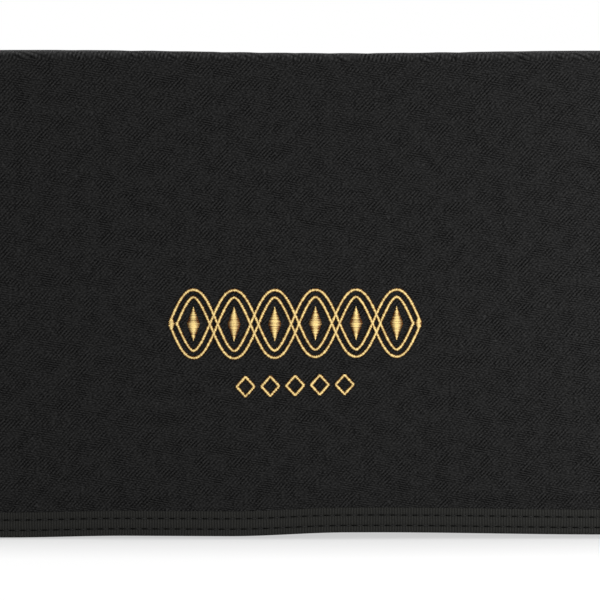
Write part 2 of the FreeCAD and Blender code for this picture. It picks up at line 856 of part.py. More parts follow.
def export():
    """Recomputes the document, checks every object and sub-part, and writes one STEP file for each."""
    doc.recompute()
    failed = [item.Label for item in doc.Objects if {"Invalid", "Error"} & set(item.State)]
    if failed:
        raise RuntimeError(f"objects that did not recompute: {failed}")
    os.makedirs("parts", exist_ok=True)
    for item in nodes:
        shape = item.Shape
        if shape.isNull() or not shape.isValid() or not shape.Solids:
            raise RuntimeError(f"{item.Label} has no valid solid")
        shape.exportStep(f"parts/{item.Label}.step")
        box = shape.BoundBox
        print(
            f"{item.Label:24s} solids {len(shape.Solids)}  volume {shape.Volume:9.0f} mm3"
            f"  x {box.XMin:7.1f} {box.XMax:7.1f}  y {box.YMin:6.1f} {box.YMax:6.1f}  z {box.ZMin:6.1f} {box.ZMax:6.1f}"
        )
    print(len(nodes), "sub-parts")


case_panels()
gussets()
seam_piping()
lining()
mouth_binding()
flap_top()
flap_front()
anchor_strip()
embroidery()
hook_and_loop()
front_pocket()
divider()
zipper()
rear_straps()
strap_rings()
export()
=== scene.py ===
# %% [markdown]
# # A soft flight bag, made of cloth, tape and thread
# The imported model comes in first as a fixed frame. Every soft piece that follows is a surface worked out
# with numpy and laid over that frame. Lengths are in millimetres until the moment a mesh is made.

# %% The frame
import json
import math
import bmesh
import bpy
import numpy as np
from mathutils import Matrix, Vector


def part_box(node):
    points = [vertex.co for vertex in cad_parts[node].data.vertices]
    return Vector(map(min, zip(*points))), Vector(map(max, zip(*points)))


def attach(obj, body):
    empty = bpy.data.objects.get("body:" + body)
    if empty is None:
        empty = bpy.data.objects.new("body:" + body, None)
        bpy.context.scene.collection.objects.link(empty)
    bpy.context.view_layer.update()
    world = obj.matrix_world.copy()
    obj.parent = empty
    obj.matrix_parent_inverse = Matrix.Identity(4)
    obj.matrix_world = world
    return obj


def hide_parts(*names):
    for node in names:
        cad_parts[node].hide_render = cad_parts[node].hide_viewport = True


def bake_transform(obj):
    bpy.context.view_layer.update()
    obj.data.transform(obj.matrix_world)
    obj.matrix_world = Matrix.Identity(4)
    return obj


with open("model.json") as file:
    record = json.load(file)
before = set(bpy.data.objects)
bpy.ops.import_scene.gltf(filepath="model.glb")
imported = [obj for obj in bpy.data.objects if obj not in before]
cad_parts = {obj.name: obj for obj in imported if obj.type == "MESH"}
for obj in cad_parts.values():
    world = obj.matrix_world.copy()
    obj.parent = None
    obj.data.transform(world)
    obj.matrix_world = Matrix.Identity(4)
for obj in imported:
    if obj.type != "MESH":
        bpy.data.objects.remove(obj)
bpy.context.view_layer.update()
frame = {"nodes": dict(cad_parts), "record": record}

MM = 0.001
rng = np.random.default_rng(7)


def span(node):
    """Lowest and highest corner of a frame node, in millimetres."""
    low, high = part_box(node)
    return np.array(low) / MM, np.array(high) / MM


def spread(*values):
    """Points from their coordinates, which may be arrays of any shapes that fit together."""
    return np.stack(np.broadcast_arrays(*values), -1)


def add_object(name, data):
    """A new object in the scene that shows the data."""
    item = bpy.data.objects.new(name, data)
    bpy.context.scene.collection.objects.link(item)
    return item


hinges = {joint["name"]: joint for joint in frame["record"]["behaviour"]["joints"]}
print("frame nodes:", len(frame["nodes"]), "joints:", len(hinges))

# %% [markdown]
# ## The light, the floor and the camera
# A dark cloth is hard to light. An even white surround fills it, one wide lamp above puts a bright line on
# the fold and a short shadow on the floor, and a lamp on the right makes that side a little lighter.

# %% Camera
scene = bpy.context.scene
scene.view_settings.view_transform = "Standard"
flap_low, flap_high = span("flap_front_shell")
FRAME_WIDTH = 252.0
STAND_BACK = 1400.0
AIM_X, AIM_DROP, EYE_RISE = 2.1, 104.3, 86.0
aim = np.array([AIM_X, flap_low[1], flap_high[2] - AIM_DROP])
eye = aim + np.array([0, -STAND_BACK, EYE_RISE])
camera_data = bpy.data.cameras.new("camera")
camera = add_object("camera", camera_data)
camera.location = eye * MM
tilt = math.atan2(eye[2] - aim[2], STAND_BACK)
camera.rotation_euler = (math.pi / 2 - tilt, 0, 0)
camera_data.lens = camera_data.sensor_width * STAND_BACK / math.cos(tilt) / FRAME_WIDTH
camera_data.clip_start = 0.01
camera_data.clip_end = 50
scene.camera = camera
print("lens", round(camera_data.lens, 1), "tilt", round(math.degrees(tilt), 2))

# %% Floor and lamps
world = bpy.data.worlds.new("surround")
world.use_nodes = True
surround = world.node_tree.nodes["Background"].inputs
surround["Color"].default_value = (1, 1, 1, 1)
surround["Strength"].default_value = 1.0
scene.world = world


def lamp(name, place, target, size, power):
    """A square area lamp at a place, turned to face a target, both in metres."""
    data = bpy.data.lights.new(name, "AREA")
    data.size = size
    data.energy = power
    item = add_object(name, data)
    item.location = place
    item.visible_camera = False
    way = np.array(target, float) - np.array(place, float)
    item.rotation_euler = (math.acos(-way[2] / np.linalg.norm(way)), 0, math.atan2(way[1], way[0]) - math.pi / 2)


lamp("overhead", (0.0, 0.07, 1.3), (0, 0.0701, 0), 0.42, 20)
lamp("right_fill", (0.42, -0.38, 0.13), (0.05, -0.05, 0.11), 0.28, 2.7)

# %% [markdown]
# ## Cloth, as shader groups
# A weave is a height that repeats over the cloth. Each weave is one shader group on the piece's own flat
# coordinates, so the threads follow the cloth round a fold, and a second group adds the slow unevenness
# that dyed cloth has. Colours and the shader itself stay in each material.

# %% A small builder for shader groups


class Wiring:
    """A node tree with short words for the nodes that the groups need."""

    def __init__(self, tree):
        self.tree = tree

    def node(self, kind, **settings):
        item = self.tree.nodes.new(kind)
        for key, value in settings.items():
            setattr(item, key, value)
        return item

    def feed(self, socket, value):
        """Links a socket to another, or sets it to a plain number."""
        if isinstance(value, bpy.types.NodeSocket):
            self.tree.links.new(value, socket)
        else:
            socket.default_value = value

    def math(self, operation, first, second=0.0):
        item = self.node("ShaderNodeMath", operation=operation)
        self.feed(item.inputs[0], first)
        self.feed(item.inputs[1], second)
        return item.outputs[0]

    def times(self, first, second):
        return self.math("MULTIPLY", first, second)

    def plus(self, first, second):
        return self.math("ADD", first, second)

    def minus(self, first, second):
        return self.math("SUBTRACT", first, second)

    def over(self, first, second):
        return self.math("DIVIDE", first, second)

    def set(self, item, **numbers):
        """Sets inputs to plain values. Their names are written with _ for a space."""
        for label, value in numbers.items():
            item.inputs[label.replace("_", " ")].default_value = value

    def ramp(self, value, low, high, to_low=0.0, to_high=1.0, **settings):
        """A value mapped from one range to another."""
        item = self.node("ShaderNodeMapRange", **settings)
        self.feed(item.inputs["Value"], value)
        self.set(item, From_Min=low, From_Max=high, To_Min=to_low, To_Max=to_high)
        return item.outputs["Result"]

    def drawn_out(self, at, share):
        """Coordinates squeezed to a share along the first, so a noise on them is drawn out along it."""
        item = self.node("ShaderNodeCombineXYZ")
        self.feed(item.inputs[0], self.times(at[0], share))
        self.feed(item.inputs[1], at[1])
        return item.outputs[0]

    def drift(self, vector, scale, detail, reach):
        """A slow noise about zero."""
        return self.times(self.minus(self.noise(vector, scale, detail), 0.5), reach)

    def cloth_place(self):
        return self.node("ShaderNodeUVMap", uv_map="cloth").outputs[0]

    def frame_place(self):
        return self.node("ShaderNodeTexCoord").outputs["Object"]

    def bump(self, shader, height, relief):
        """Feeds a shader's normal from a height, with its relief in millimetres."""
        item = self.node("ShaderNodeBump")
        self.set(item, Distance=relief * MM)
        self.feed(item.inputs["Height"], height)
        self.feed(shader.inputs["Normal"], item.outputs[0])

    def wave(self, position):
        """The cosine of a position counted in whole periods."""
        return self.math("COSINE", self.times(position, 2 * math.pi))

    def ripple(self, position):
        """Half plus half a wave, from 0 to 1."""
        return self.half(self.wave(position))

    def half(self, value):
        item = self.node("ShaderNodeMath", operation="MULTIPLY_ADD")
        self.feed(item.inputs[0], value)
        item.inputs[1].default_value = 0.5
        item.inputs[2].default_value = 0.5
        return item.outputs[0]

    def noise(self, vector, scale, detail=2.0):
        item = self.node("ShaderNodeTexNoise")
        self.feed(item.inputs["Vector"], vector)
        item.inputs["Scale"].default_value = scale
        item.inputs["Detail"].default_value = detail
        return item.outputs["Fac"]

    def mix(self, factor, first, second):
        """A colour between two."""
        item = self.node("ShaderNodeMix", data_type="RGBA")
        self.feed(item.inputs[0], factor)
        self.feed(item.inputs[6], first)
        self.feed(item.inputs[7], second)
        return item.outputs[2]


def shader_group(name, numbers, outputs):
    """A new group with a vector input, numbered inputs with defaults, and float outputs."""
    tree = bpy.data.node_groups.new(name, "ShaderNodeTree")
    tree.interface.new_socket("Vector", in_out="INPUT", socket_type="NodeSocketVector")
    for label, value in numbers.items():
        socket = tree.interface.new_socket(label, in_out="INPUT", socket_type="NodeSocketFloat")
        socket.default_value = value
    for label in outputs:
        tree.interface.new_socket(label, in_out="OUTPUT", socket_type="NodeSocketFloat")
    wires = Wiring(tree)
    entry = wires.node("NodeGroupInput")
    leave = wires.node("NodeGroupOutput")
    split = wires.node("ShaderNodeSeparateXYZ")
    tree.links.new(entry.outputs["Vector"], split.inputs[0])
    return wires, entry, split.outputs, leave


def close_group(wires, leave, **values):
    """Feeds the group's outputs and gives its tree."""
    for label, value in values.items():
        wires.feed(leave.inputs[label], value)
    return wires.tree


def twill_group():
    """Diagonal ridges times flatter ones, so they break into single floats. The ridges stand out in some
    patches and the weft in others, and uneven yarns streak along the weft."""
    wires, entry, at, leave = shader_group("twill", {"Period": 0.00175}, ("Height", "Fleck"))
    period, flat = entry.outputs["Period"], entry.outputs["Vector"]
    fleck = wires.ramp(wires.noise(wires.drawn_out(at, 0.6), 1500, 3), 0.32, 0.68)
    patch = wires.ramp(wires.noise(wires.drawn_out(at, 0.5), 240, 2), 0.38, 0.62)
    strength = wires.ramp(wires.noise(flat, 170, 2), 0.35, 0.65, 0.35, 1.5)
    slant = wires.plus(wires.minus(at[0], wires.times(at[1], 0.94)), wires.drift(flat, 60, 2, 0.0008))
    ridge = wires.wave(wires.over(slant, period))
    flatter = wires.plus(wires.times(at[0], 0.325), wires.times(at[1], 1.825))
    cross = wires.wave(wires.over(flatter, period))
    diagonal = wires.times(ridge, wires.minus(0.75, wires.times(patch, 0.55)))
    across = wires.times(cross, wires.times(patch, 0.7))
    floats = wires.times(wires.times(ridge, cross), 0.45)
    total = wires.plus(wires.plus(diagonal, across), floats)
    return close_group(wires, leave, Height=wires.half(wires.times(total, strength)), Fleck=fleck)


def rib_group():
    """Fat ribs across a tape with thin yarns wound round them."""
    wires, entry, at, leave = shader_group("ribs", {"Rib": 0.00115, "Yarn": 0.00045}, ("Height", "Fleck"))
    flat = entry.outputs["Vector"]
    rib = wires.ripple(wires.over(wires.plus(at[0], wires.drift(flat, 220, 1, 0.0004)), entry.outputs["Rib"]))
    yarn = wires.ripple(wires.over(at[1], entry.outputs["Yarn"]))
    height = wires.plus(wires.times(rib, 0.8), wires.times(yarn, 0.2))
    return close_group(wires, leave, Height=height, Fleck=wires.noise(flat, 1100, 2))


def plain_group():
    """A plain weave: each yarn goes over one and under one, like a chequerboard of small humps."""
    wires, entry, at, leave = shader_group("plain", {"Yarn": 0.0009}, ("Height", "Fleck"))
    across, along = (
        wires.math("SINE", wires.times(wires.over(at[part], entry.outputs["Yarn"]), math.pi)) for part in (0, 1)
    )
    height = wires.half(wires.times(across, along))
    return close_group(wires, leave, Height=height, Fleck=wires.noise(entry.outputs["Vector"], 800, 2))


def webbing_group():
    """Woven strap: chevrons of fat yarns, mirrored about lines along the strap."""
    wires, entry, at, leave = shader_group("chevrons", {"Yarn": 0.0016, "Band": 0.006}, ("Height", "Fleck"))
    fold = wires.math("PINGPONG", at[1], entry.outputs["Band"])
    slant = wires.plus(at[0], wires.times(fold, 0.9))
    yarn = wires.ripple(wires.over(slant, entry.outputs["Yarn"]))
    stripe = wires.ripple(wires.over(fold, entry.outputs["Band"]))
    height = wires.plus(wires.times(yarn, 0.75), wires.times(stripe, 0.25))
    return close_group(wires, leave, Height=height, Fleck=wires.noise(entry.outputs["Vector"], 700, 2))


def wear_group():
    """Slow patches and fine lint, both from 0 to 1, for cloth that has been handled."""
    wires, entry, _, leave = shader_group("handling", {}, ("Patch", "Lint"))
    flat = entry.outputs["Vector"]
    lint = wires.math("GREATER_THAN", wires.noise(flat, 420, 1), 0.74)
    return close_group(wires, leave, Patch=wires.noise(flat, 14, 3), Lint=lint)


GROUPS = {
    "twill": twill_group(),
    "ribs": rib_group(),
    "plain": plain_group(),
    "chevrons": webbing_group(),
    "handling": wear_group(),
}
print("shader groups:", ", ".join(GROUPS))

# %% [markdown]
# ## Finishes
# Each cloth finish mixes a dark colour in the valleys of its weave with a lighter one on the crowns, which is
# painted shade in the valleys and painted light on the crowns, and gives the same height to the bump. Black
# cloth needs a very low mirror level, or it turns grey under a white surround.

# %% Cloth finishes


def start_material(name):
    """A material, its wiring and its Principled shader."""
    material = bpy.data.materials.new(name)
    material.use_nodes = True
    wires = Wiring(material.node_tree)
    return material, wires, material.node_tree.nodes["Principled BSDF"]


def use_group(wires, name, vector, **numbers):
    """Places a shared group in a material with its own values."""
    item = wires.node("ShaderNodeGroup", node_tree=GROUPS[name])
    wires.feed(item.inputs["Vector"], vector)
    wires.set(item, **numbers)
    return item


def cloth(name, weave, valley, crown, relief, rough=0.85, mirror=0.12, numbers=None):
    """A woven finish: valley and crown are its two colours, painted shade in the weave's hollows and
    painted light on its tops. Relief is the bump height in millimetres.
    """
    material, wires, shader = start_material(name)
    flat = wires.cloth_place()
    thread = use_group(wires, weave, flat, **(numbers or {}))
    wear = use_group(wires, "handling", flat)
    height = thread.outputs["Height"]
    # Painted light: the weave's height and the yarn's random fleck pick between the shaded valley colour and the lit
    # crown colour.
    shade = wires.times(height, wires.plus(wires.times(thread.outputs["Fleck"], 1.5), 0.25))
    woven = wires.mix(shade, (*valley, 1), (*crown, 1))
    half_tone = tuple(0.5 * (low + high) for low, high in zip(valley, crown))
    faded = wires.mix(wires.times(wear.outputs["Patch"], 0.16), woven, (*half_tone, 1))
    pale = tuple(min(1.0, 1.6 * c + 0.002) for c in crown)
    dusty = wires.mix(wires.times(wear.outputs["Lint"], 0.35), faded, (*pale, 1))
    wires.feed(shader.inputs["Base Color"], dusty)
    roughness = wires.minus(rough + 0.08, wires.times(height, 0.16))
    wires.feed(shader.inputs["Roughness"], roughness)
    wires.set(shader, Specular_IOR_Level=mirror)
    wires.bump(shader, height, relief)
    return material


TWILL = cloth("black_twill", "twill", (0.0, 0.0, 0.0), (0.0192, 0.0191, 0.0190), 0.34, mirror=0.05)
GROSGRAIN = cloth("black_grosgrain", "ribs", (0.0060, 0.0060, 0.0054), (0.0172, 0.0171, 0.0156), 0.14, mirror=0.10)
LINING = cloth("grey_lining", "plain", (0.024, 0.025, 0.027), (0.078, 0.080, 0.086), 0.06, rough=0.6, mirror=0.25)
WEBBING = cloth("black_webbing", "chevrons", (0.0045, 0.0045, 0.0045), (0.0200, 0.0200, 0.0192), 0.35, mirror=0.2)
ELASTIC = cloth(
    "black_elastic", "ribs", (0.006, 0.006, 0.006), (0.026, 0.026, 0.026), 0.2, numbers={"Rib": 0.0018, "Yarn": 0.0006}
)
ZIP_CLOTH = cloth(
    "zip_cloth", "ribs", (0.005, 0.005, 0.005), (0.017, 0.017, 0.017), 0.1, numbers={"Rib": 0.0007, "Yarn": 0.0007}
)
PIPING = cloth("piping_cloth", "plain", (0.004, 0.004, 0.004), (0.018, 0.018, 0.0175), 0.08, numbers={"Yarn": 0.0005})

# %% Thread, pile, metal and plastic finishes


def solid(name, colour, rough, metal=0.0, mirror=0.5, grain=1500, relief=0.02, spread=0.25):
    """A finish in the frame's own coordinates: a colour that varies a little, with fine grain in the bump."""
    material, wires, shader = start_material(name)
    place = wires.frame_place()
    fine = wires.noise(place, grain, 3)
    slow = wires.noise(place, 45, 3)
    dark = tuple(c * (1 - spread) for c in colour)
    pale = tuple(min(1.0, c * (1 + spread)) for c in colour)
    both = wires.plus(wires.times(fine, 0.5), wires.times(slow, 0.5))
    wires.feed(shader.inputs["Base Color"], wires.mix(both, (*dark, 1), (*pale, 1)))
    wires.feed(shader.inputs["Roughness"], wires.plus(wires.times(slow, 0.2), rough - 0.1))
    wires.set(shader, Metallic=metal, Specular_IOR_Level=mirror)
    wires.bump(shader, fine, relief)
    return material


def painted_highlight_thread(name, ends, crown, rough, mirror):
    """Sewing thread: a painted highlight along each thread's middle, painted shade towards both ends where it
    dives into the cloth, and each thread a slightly different tone.
    """
    material, wires, shader = start_material(name)
    flat = wires.cloth_place()
    place = wires.frame_place()
    at = wires.node("ShaderNodeSeparateXYZ")
    wires.feed(at.inputs[0], flat)
    share = wires.times(at.outputs[0], 1 / MM)
    # A painted highlight: each thread is lit in its middle and shaded at its ends by colour alone.
    middle = wires.math("POWER", wires.math("SINE", wires.times(share, math.pi)), 1.8)
    tone = wires.times(wires.times(at.outputs[1], 1 / MM), 0.55)
    fine = wires.noise(place, 3500, 2)
    shade = wires.minus(wires.plus(middle, wires.times(fine, 0.4)), tone)
    wires.feed(shader.inputs["Base Color"], wires.mix(shade, (*ends, 1), (*crown, 1)))
    wires.set(shader, Roughness=rough, Specular_IOR_Level=mirror)
    wires.bump(shader, fine, 0.04)
    return material


# First colour: painted shade at each thread's ends; second colour: its painted highlight.
BLACK_THREAD = painted_highlight_thread("black_thread", (0.004, 0.004, 0.004), (0.013, 0.013, 0.0124), 0.7, 0.1)
# The needle-hole finish is painted shade: a near-black stand-in where the thread dives into the cloth.
HOLE_SHADE = painted_highlight_thread("needle_hole_shade", (0.0026, 0.0026, 0.0026), (0.0050, 0.0050, 0.0047), 0.9, 0.0)
GOLD_THREAD = painted_highlight_thread("gold_thread", (0.11, 0.035, 0.003), (0.80, 0.605, 0.245), 0.42, 0.3)
PILE = solid("pile_tape", (0.010, 0.010, 0.010), 0.9, mirror=0.1, grain=2600, relief=0.7, spread=0.6)
DARK_METAL = solid("dark_metal", (0.16, 0.16, 0.17), 0.32, metal=1.0, grain=900, relief=0.01, spread=0.12)
BRIGHT_METAL = solid("bright_metal", (0.50, 0.49, 0.48), 0.24, metal=1.0, grain=700, relief=0.006, spread=0.06)
NYLON = solid("black_nylon", (0.012, 0.012, 0.012), 0.35, mirror=0.4, grain=1500, relief=0.01)
BOARD = solid("board", (0.05, 0.05, 0.05), 0.6, grain=900, relief=0.04)


def floor_finish():
    """A white table that shines like a lamp though it is none, which is painted light: it is dimmest near the
    bag, a painted shadow round it, and grows brighter slowly with distance, up to plain white.
    """
    material, wires, shader = start_material("pale_floor")
    place = wires.frame_place()
    away = wires.node("ShaderNodeVectorMath", operation="LENGTH")
    wires.feed(away.inputs[0], place)
    # Painted light and shadow: the floor's own emission, dim near the bag and full far from it.
    painted_glow = wires.ramp(away.outputs["Value"], 0.25, 1.6, 0.58, 0.86, interpolation_type="SMOOTHSTEP")
    wires.feed(shader.inputs["Emission Color"], painted_glow)
    wires.set(shader, Base_Color=(0.21, 0.21, 0.21, 1), Roughness=0.95, Specular_IOR_Level=0.0, Emission_Strength=1.0)
    return material


FLOOR = floor_finish()
print("finishes:", len(bpy.data.materials))

# %% [markdown]
# ## From numbers to meshes
# Three kinds of mesh make the whole bag: a slab between two grids, a profile carried along a path, and many
# short threads. Each is worked out as one array of points and one of faces.

# %% Meshes


def make_piece(name, points, faces, flat, material, slot, weld=False, crisp=False):
    """Puts points (millimetres), faces and flat cloth coordinates (millimetres) into a new object."""
    mesh = bpy.data.meshes.new(name)
    mesh.from_pydata((points * MM).tolist(), [], faces)
    layer = mesh.uv_layers.new(name="cloth")
    corner = np.empty(len(mesh.loops), dtype=np.int32)
    mesh.loops.foreach_get("vertex_index", corner)
    layer.uv.foreach_set("vector", (flat[corner] * MM).astype(np.float32).ravel())
    shell = bmesh.new()
    shell.from_mesh(mesh)
    if weld:
        bmesh.ops.remove_doubles(shell, verts=shell.verts, dist=0.01 * MM)
    bmesh.ops.recalc_face_normals(shell, faces=shell.faces)
    shell.to_mesh(mesh)
    shell.free()
    mesh.shade_smooth()
    if crisp:
        mesh.set_sharp_from_angle(angle=math.radians(55))
    mesh.materials.append(material)
    item = add_object(name, mesh)
    return item


def slab_faces(keep, closed):
    """Quads for two matching grids, and the walls round each patch of kept cells. In a closed grid the first
    and last columns meet, and so do the two halves of the last row, so neither has a wall."""
    rows, cols = keep.shape[0] + 1, keep.shape[1] + 1
    index = np.arange(rows * cols).reshape(rows, cols)
    a, b, c, e = index[:-1, :-1], index[:-1, 1:], index[1:, 1:], index[1:, :-1]
    under = rows * cols
    top = np.stack([a, b, c, e], -1)[keep]
    around = np.pad(keep, 1)
    if closed:
        around[1:-1, 0] = around[1:-1, -1] = True
        around[-1, 1:-1] = True
    walls = []
    for gone, first, second in (
        (around[:-2, 1:-1], a, b),
        (around[1:-1, 2:], b, c),
        (around[2:, 1:-1], c, e),
        (around[1:-1, :-2], e, a),
    ):
        edge = keep & ~gone
        walls.append(np.stack([second[edge], first[edge], first[edge] + under, second[edge] + under], -1))
    return np.concatenate([top, top[:, ::-1] + under, *walls]).tolist()


def slab(name, outer, inner, flat, material, slot, keep=None, closed=False):
    """A closed sheet between an outer and an inner grid of points, with holes where keep is false."""
    rows, cols = outer.shape[:2]
    kept = np.ones((rows - 1, cols - 1), bool) if keep is None else keep
    points = np.concatenate([outer.reshape(-1, 3), inner.reshape(-1, 3)])
    coordinates = np.tile(flat.reshape(-1, 2), (2, 1))
    return make_piece(name, points, slab_faces(kept, closed), coordinates, material, slot, weld=closed, crisp=True)


def tube_quads(count, sides, closed=False):
    """Quads between neighbouring rings of a tube, all round each."""
    row, col = np.arange(count if closed else count - 1)[:, None], np.arange(sides)[None, :]
    ahead, beside = (row + 1) % count, (col + 1) % sides
    corners = (row * sides + col, row * sides + beside, ahead * sides + beside, ahead * sides + col)
    return spread(*corners).reshape(-1, 4)


def swept(name, rings, flat, material, slot, closed=False):
    """A closed profile carried along a path: rings[path, profile]. The ends are capped unless it closes."""
    count, sides = rings.shape[:2]
    faces = tube_quads(count, sides, closed).tolist()
    if not closed:
        faces += [list(range(sides)), list(range((count - 1) * sides, count * sides))]
    return make_piece(name, rings.reshape(-1, 3), faces, flat.reshape(-1, 2), material, slot)


def unit(vectors):
    """Vectors brought to length one."""
    return vectors / np.maximum(np.linalg.norm(vectors, axis=-1, keepdims=True), 1e-9)


def threads(name, start, end, normal, radius, arch, material, slot, rings=6, sides=5, blunt=0.35):
    """Many short threads at once. Each runs from a start to an end, rises as an arch along its normal, and
    thins towards both ends."""
    count = len(start)
    share = np.linspace(0, 1, rings)[None, :, None]
    turn = np.linspace(0, 2 * np.pi, sides, endpoint=False)[None, None, :, None]
    way = unit(end - start)
    side = unit(np.cross(way, normal))
    up = np.cross(side, way)
    rise = np.broadcast_to(arch, (count,)).reshape(-1, 1, 1) * (1 - np.abs(2 * share - 1) ** 2.6)
    line = start[:, None] * (1 - share) + end[:, None] * share + rise * normal[:, None]
    thin = blunt + (1 - blunt) * np.sin(np.pi * share) ** 0.5
    girth = (np.broadcast_to(radius, (count,)).reshape(-1, 1, 1) * thin)[..., None]
    round_it = np.cos(turn) * side[:, None, None] + np.sin(turn) * up[:, None, None]
    points = (line[:, :, None] + girth * round_it).reshape(-1, 3)
    step = rings * sides
    quads = (tube_quads(rings, sides)[None] + step * np.arange(count)[:, None, None]).reshape(-1, 4)
    caps = np.stack([np.arange(sides), np.arange(step - sides, step)])
    ends = (caps[None] + step * np.arange(count)[:, None, None]).reshape(-1, sides)
    tone = rng.random(count)[:, None, None, None]
    flat = spread(share, tone[..., 0], np.zeros((1, 1, sides)))[..., :2].reshape(-1, 2)
    return make_piece(name, points, quads.tolist() + ends.tolist(), flat, material, slot)


def run_length(path):
    """Distance along a path at each of its points."""
    return np.concatenate([[0], np.cumsum(np.linalg.norm(np.diff(path, axis=0), axis=1))])


def across_of(way):
    """Directions a quarter turn to the left of flat ones."""
    return np.stack([-way[:, 1], way[:, 0]], -1)


def walk(path, pitch):
    """Places at an even pitch along a dense path, as fractional indices into it."""
    run = run_length(path)
    count = max(int(run[-1] // pitch), 1)
    marks = (np.arange(count + 1) + 0.5 * (run[-1] / pitch - count)) * pitch
    return np.interp(marks, run, np.arange(len(path)))


def pick(values, index):
    """Values of a dense array at fractional indices."""
    low = np.clip(np.floor(index).astype(int), 0, len(values) - 2)
    part = (index - low)[:, None]
    return values[low] * (1 - part) + values[low + 1] * part


def stitches(name, surface, first, second, slot, lift=0.0, pitch=4.66, radius=0.27, material=None, gap=0.38):
    """A row of lockstitches on a surface along a flat curve given by its two flat coordinates, with painted
    shade laid over the needle holes between them.
    """
    first, second = np.broadcast_arrays(np.asarray(first, float), np.asarray(second, float))
    path = surface(first, second, lift)
    normal = unit(surface(first, second, lift + 1.0) - path)
    marks = walk(path, pitch)
    ends = pick(path, marks)
    normals = unit(pick(normal, (marks[:-1] + marks[1:]) / 2))
    way = unit(ends[1:] - ends[:-1])
    gap = gap * pitch
    low, high = ends[:-1] + way * gap / 2, ends[1:] - way * gap / 2
    row = threads(name, low, high, normals, radius, 0.16, material or BLACK_THREAD, slot)
    wide = radius * 1.15
    # Painted shade at the needle holes: flat near-black threads between the stitches.
    holes = threads(name + "_holes", high[:-1], low[1:], normals[1:], wide, 0.0, HOLE_SHADE, slot, rings=4, blunt=0.8)
    return joined(name, row, holes)


def joined(name, *items):
    """Several pieces made into one, with the first one's settings kept."""
    with bpy.context.temp_override(active_object=items[0], selected_editable_objects=list(items)):
        bpy.ops.object.join()
    items[0].name = name
    items[0].data.name = name
    return items[0]


def line(*corners, step=1.0):
    """A dense path through corners: two arrays of flat coordinates."""
    corners = np.array(corners, float)
    parts = []
    for low, high in zip(corners[:-1], corners[1:]):
        count = max(int(np.linalg.norm(high - low) / step), 2)
        parts.append(low + (high - low) * np.linspace(0, 1, count, endpoint=False)[:, None])
    parts.append(corners[-1:])
    dense = np.concatenate(parts)
    return dense[:, 0], dense[:, 1]


def oblong(x0, x1, low, high, step):
    """A dense path round a rectangle, back to its first corner."""
    return line((x0, low), (x1, low), (x1, high), (x0, high), (x0, low), step=step)


def round_inset(beside, below, corner):
    """Distance in from two edges that meet in a round corner."""
    round_part = corner - np.hypot(np.minimum(beside - corner, 0), np.minimum(below - corner, 0))
    return np.where((beside < corner) & (below < corner), round_part, np.minimum(beside, below))


def signed_power(value, power):
    """The power of a value's size, with the value's sign."""
    return np.sign(value) * np.abs(value) ** power


def ease(value):
    """0 below 0, 1 above 1, and a smooth S between."""
    t = np.clip(value, 0, 1)
    return t * t * (3 - 2 * t)


# %% [markdown]
# ## How padded cloth fills out
# Foam behind cloth pushes it outwards, and the seams hold its edges down. Blender's cloth solver finds that
# shape for a flat sheet pinned along its border, with pressure behind it and gravity off. The result is kept
# as a grid of heights, so cloth, stitches and embroidery can all be raised by the same amount.

# %% A pinned sheet under pressure
SHEET_STEP = 5.0
SHEET_FRAMES = 20
SHEET_PRESSURE = 4.0
SPARE_CLOTH = 0.003


def simulated_heights(name, width, height):
    """Heights over a pinned sheet after the cloth solver has run, from 0 at its border to 1 at its fullest."""
    columns, rows = int(width / SHEET_STEP) + 1, int(height / SHEET_STEP) + 1
    x, z = np.meshgrid(np.linspace(-width / 2, width / 2, columns), np.linspace(0, height, rows))
    points = np.stack([x, 0 * x, z], -1).reshape(-1, 3) * MM
    index = np.arange(rows * columns).reshape(rows, columns)
    faces = np.stack([index[:-1, :-1], index[:-1, 1:], index[1:, 1:], index[1:, :-1]], -1).reshape(-1, 4)
    mesh = bpy.data.meshes.new(name)
    mesh.from_pydata(points.tolist(), [], faces.tolist())
    sheet = add_object(name, mesh)
    border = np.concatenate([index[0], index[-1], index[1:-1, 0], index[1:-1, -1]])
    sheet.vertex_groups.new(name="sewn").add(border.tolist(), 1.0, "REPLACE")
    solver = sheet.modifiers.new("cloth", "CLOTH")
    solver.settings.quality = 6
    solver.settings.mass = 0.2
    solver.settings.bending_stiffness = 0.5
    solver.settings.vertex_group_mass = "sewn"
    solver.settings.use_pressure = True
    solver.settings.uniform_pressure_force = SHEET_PRESSURE
    solver.settings.shrink_min = -SPARE_CLOTH
    solver.settings.effector_weights.gravity = 0
    solver.collision_settings.use_collision = False
    solver.point_cache.frame_start = 1
    solver.point_cache.frame_end = SHEET_FRAMES
    for frame_number in range(1, SHEET_FRAMES + 1):
        scene.frame_set(frame_number)
    shaped = sheet.evaluated_get(bpy.context.evaluated_depsgraph_get()).data
    places = np.empty(len(points) * 3, np.float32)
    shaped.vertices.foreach_get("co", places)
    heights = np.abs(places.reshape(rows, columns, 3)[..., 1])
    bpy.data.objects.remove(sheet)
    scene.frame_set(1)
    print(name, "sheet:", rows, "x", columns, "points, swelled", round(float(heights.max()) / MM, 2), "mm")
    return heights / heights.max()


def filling(name, width, height):
    """A function of (across from the middle, up from the foot) that reads the heights between grid points."""
    heights = simulated_heights(name, width, height)
    rows, columns = heights.shape

    def read(across, up):
        col = np.clip((across / width + 0.5) * (columns - 1), 0, columns - 1.001)
        row = np.clip(up / height * (rows - 1), 0, rows - 1.001)
        left, low = np.floor(col).astype(int), np.floor(row).astype(int)
        a, b = col - left, row - low
        bottom = heights[low, left] * (1 - a) + heights[low, left + 1] * a
        top = heights[low + 1, left] * (1 - a) + heights[low + 1, left + 1] * a
        return bottom * (1 - b) + top * b

    return read


# %% [markdown]
# ## The flap
# The flap is one long padded sheet. It starts under a strap on the back, rolls over the back edge, bridges
# the mouth, folds at the front edge and hangs down. One function takes a place on the flat sheet
# (across, along, and off its middle) to a place in space, so cloth, tape, stitches and embroidery that use
# it can't come apart.

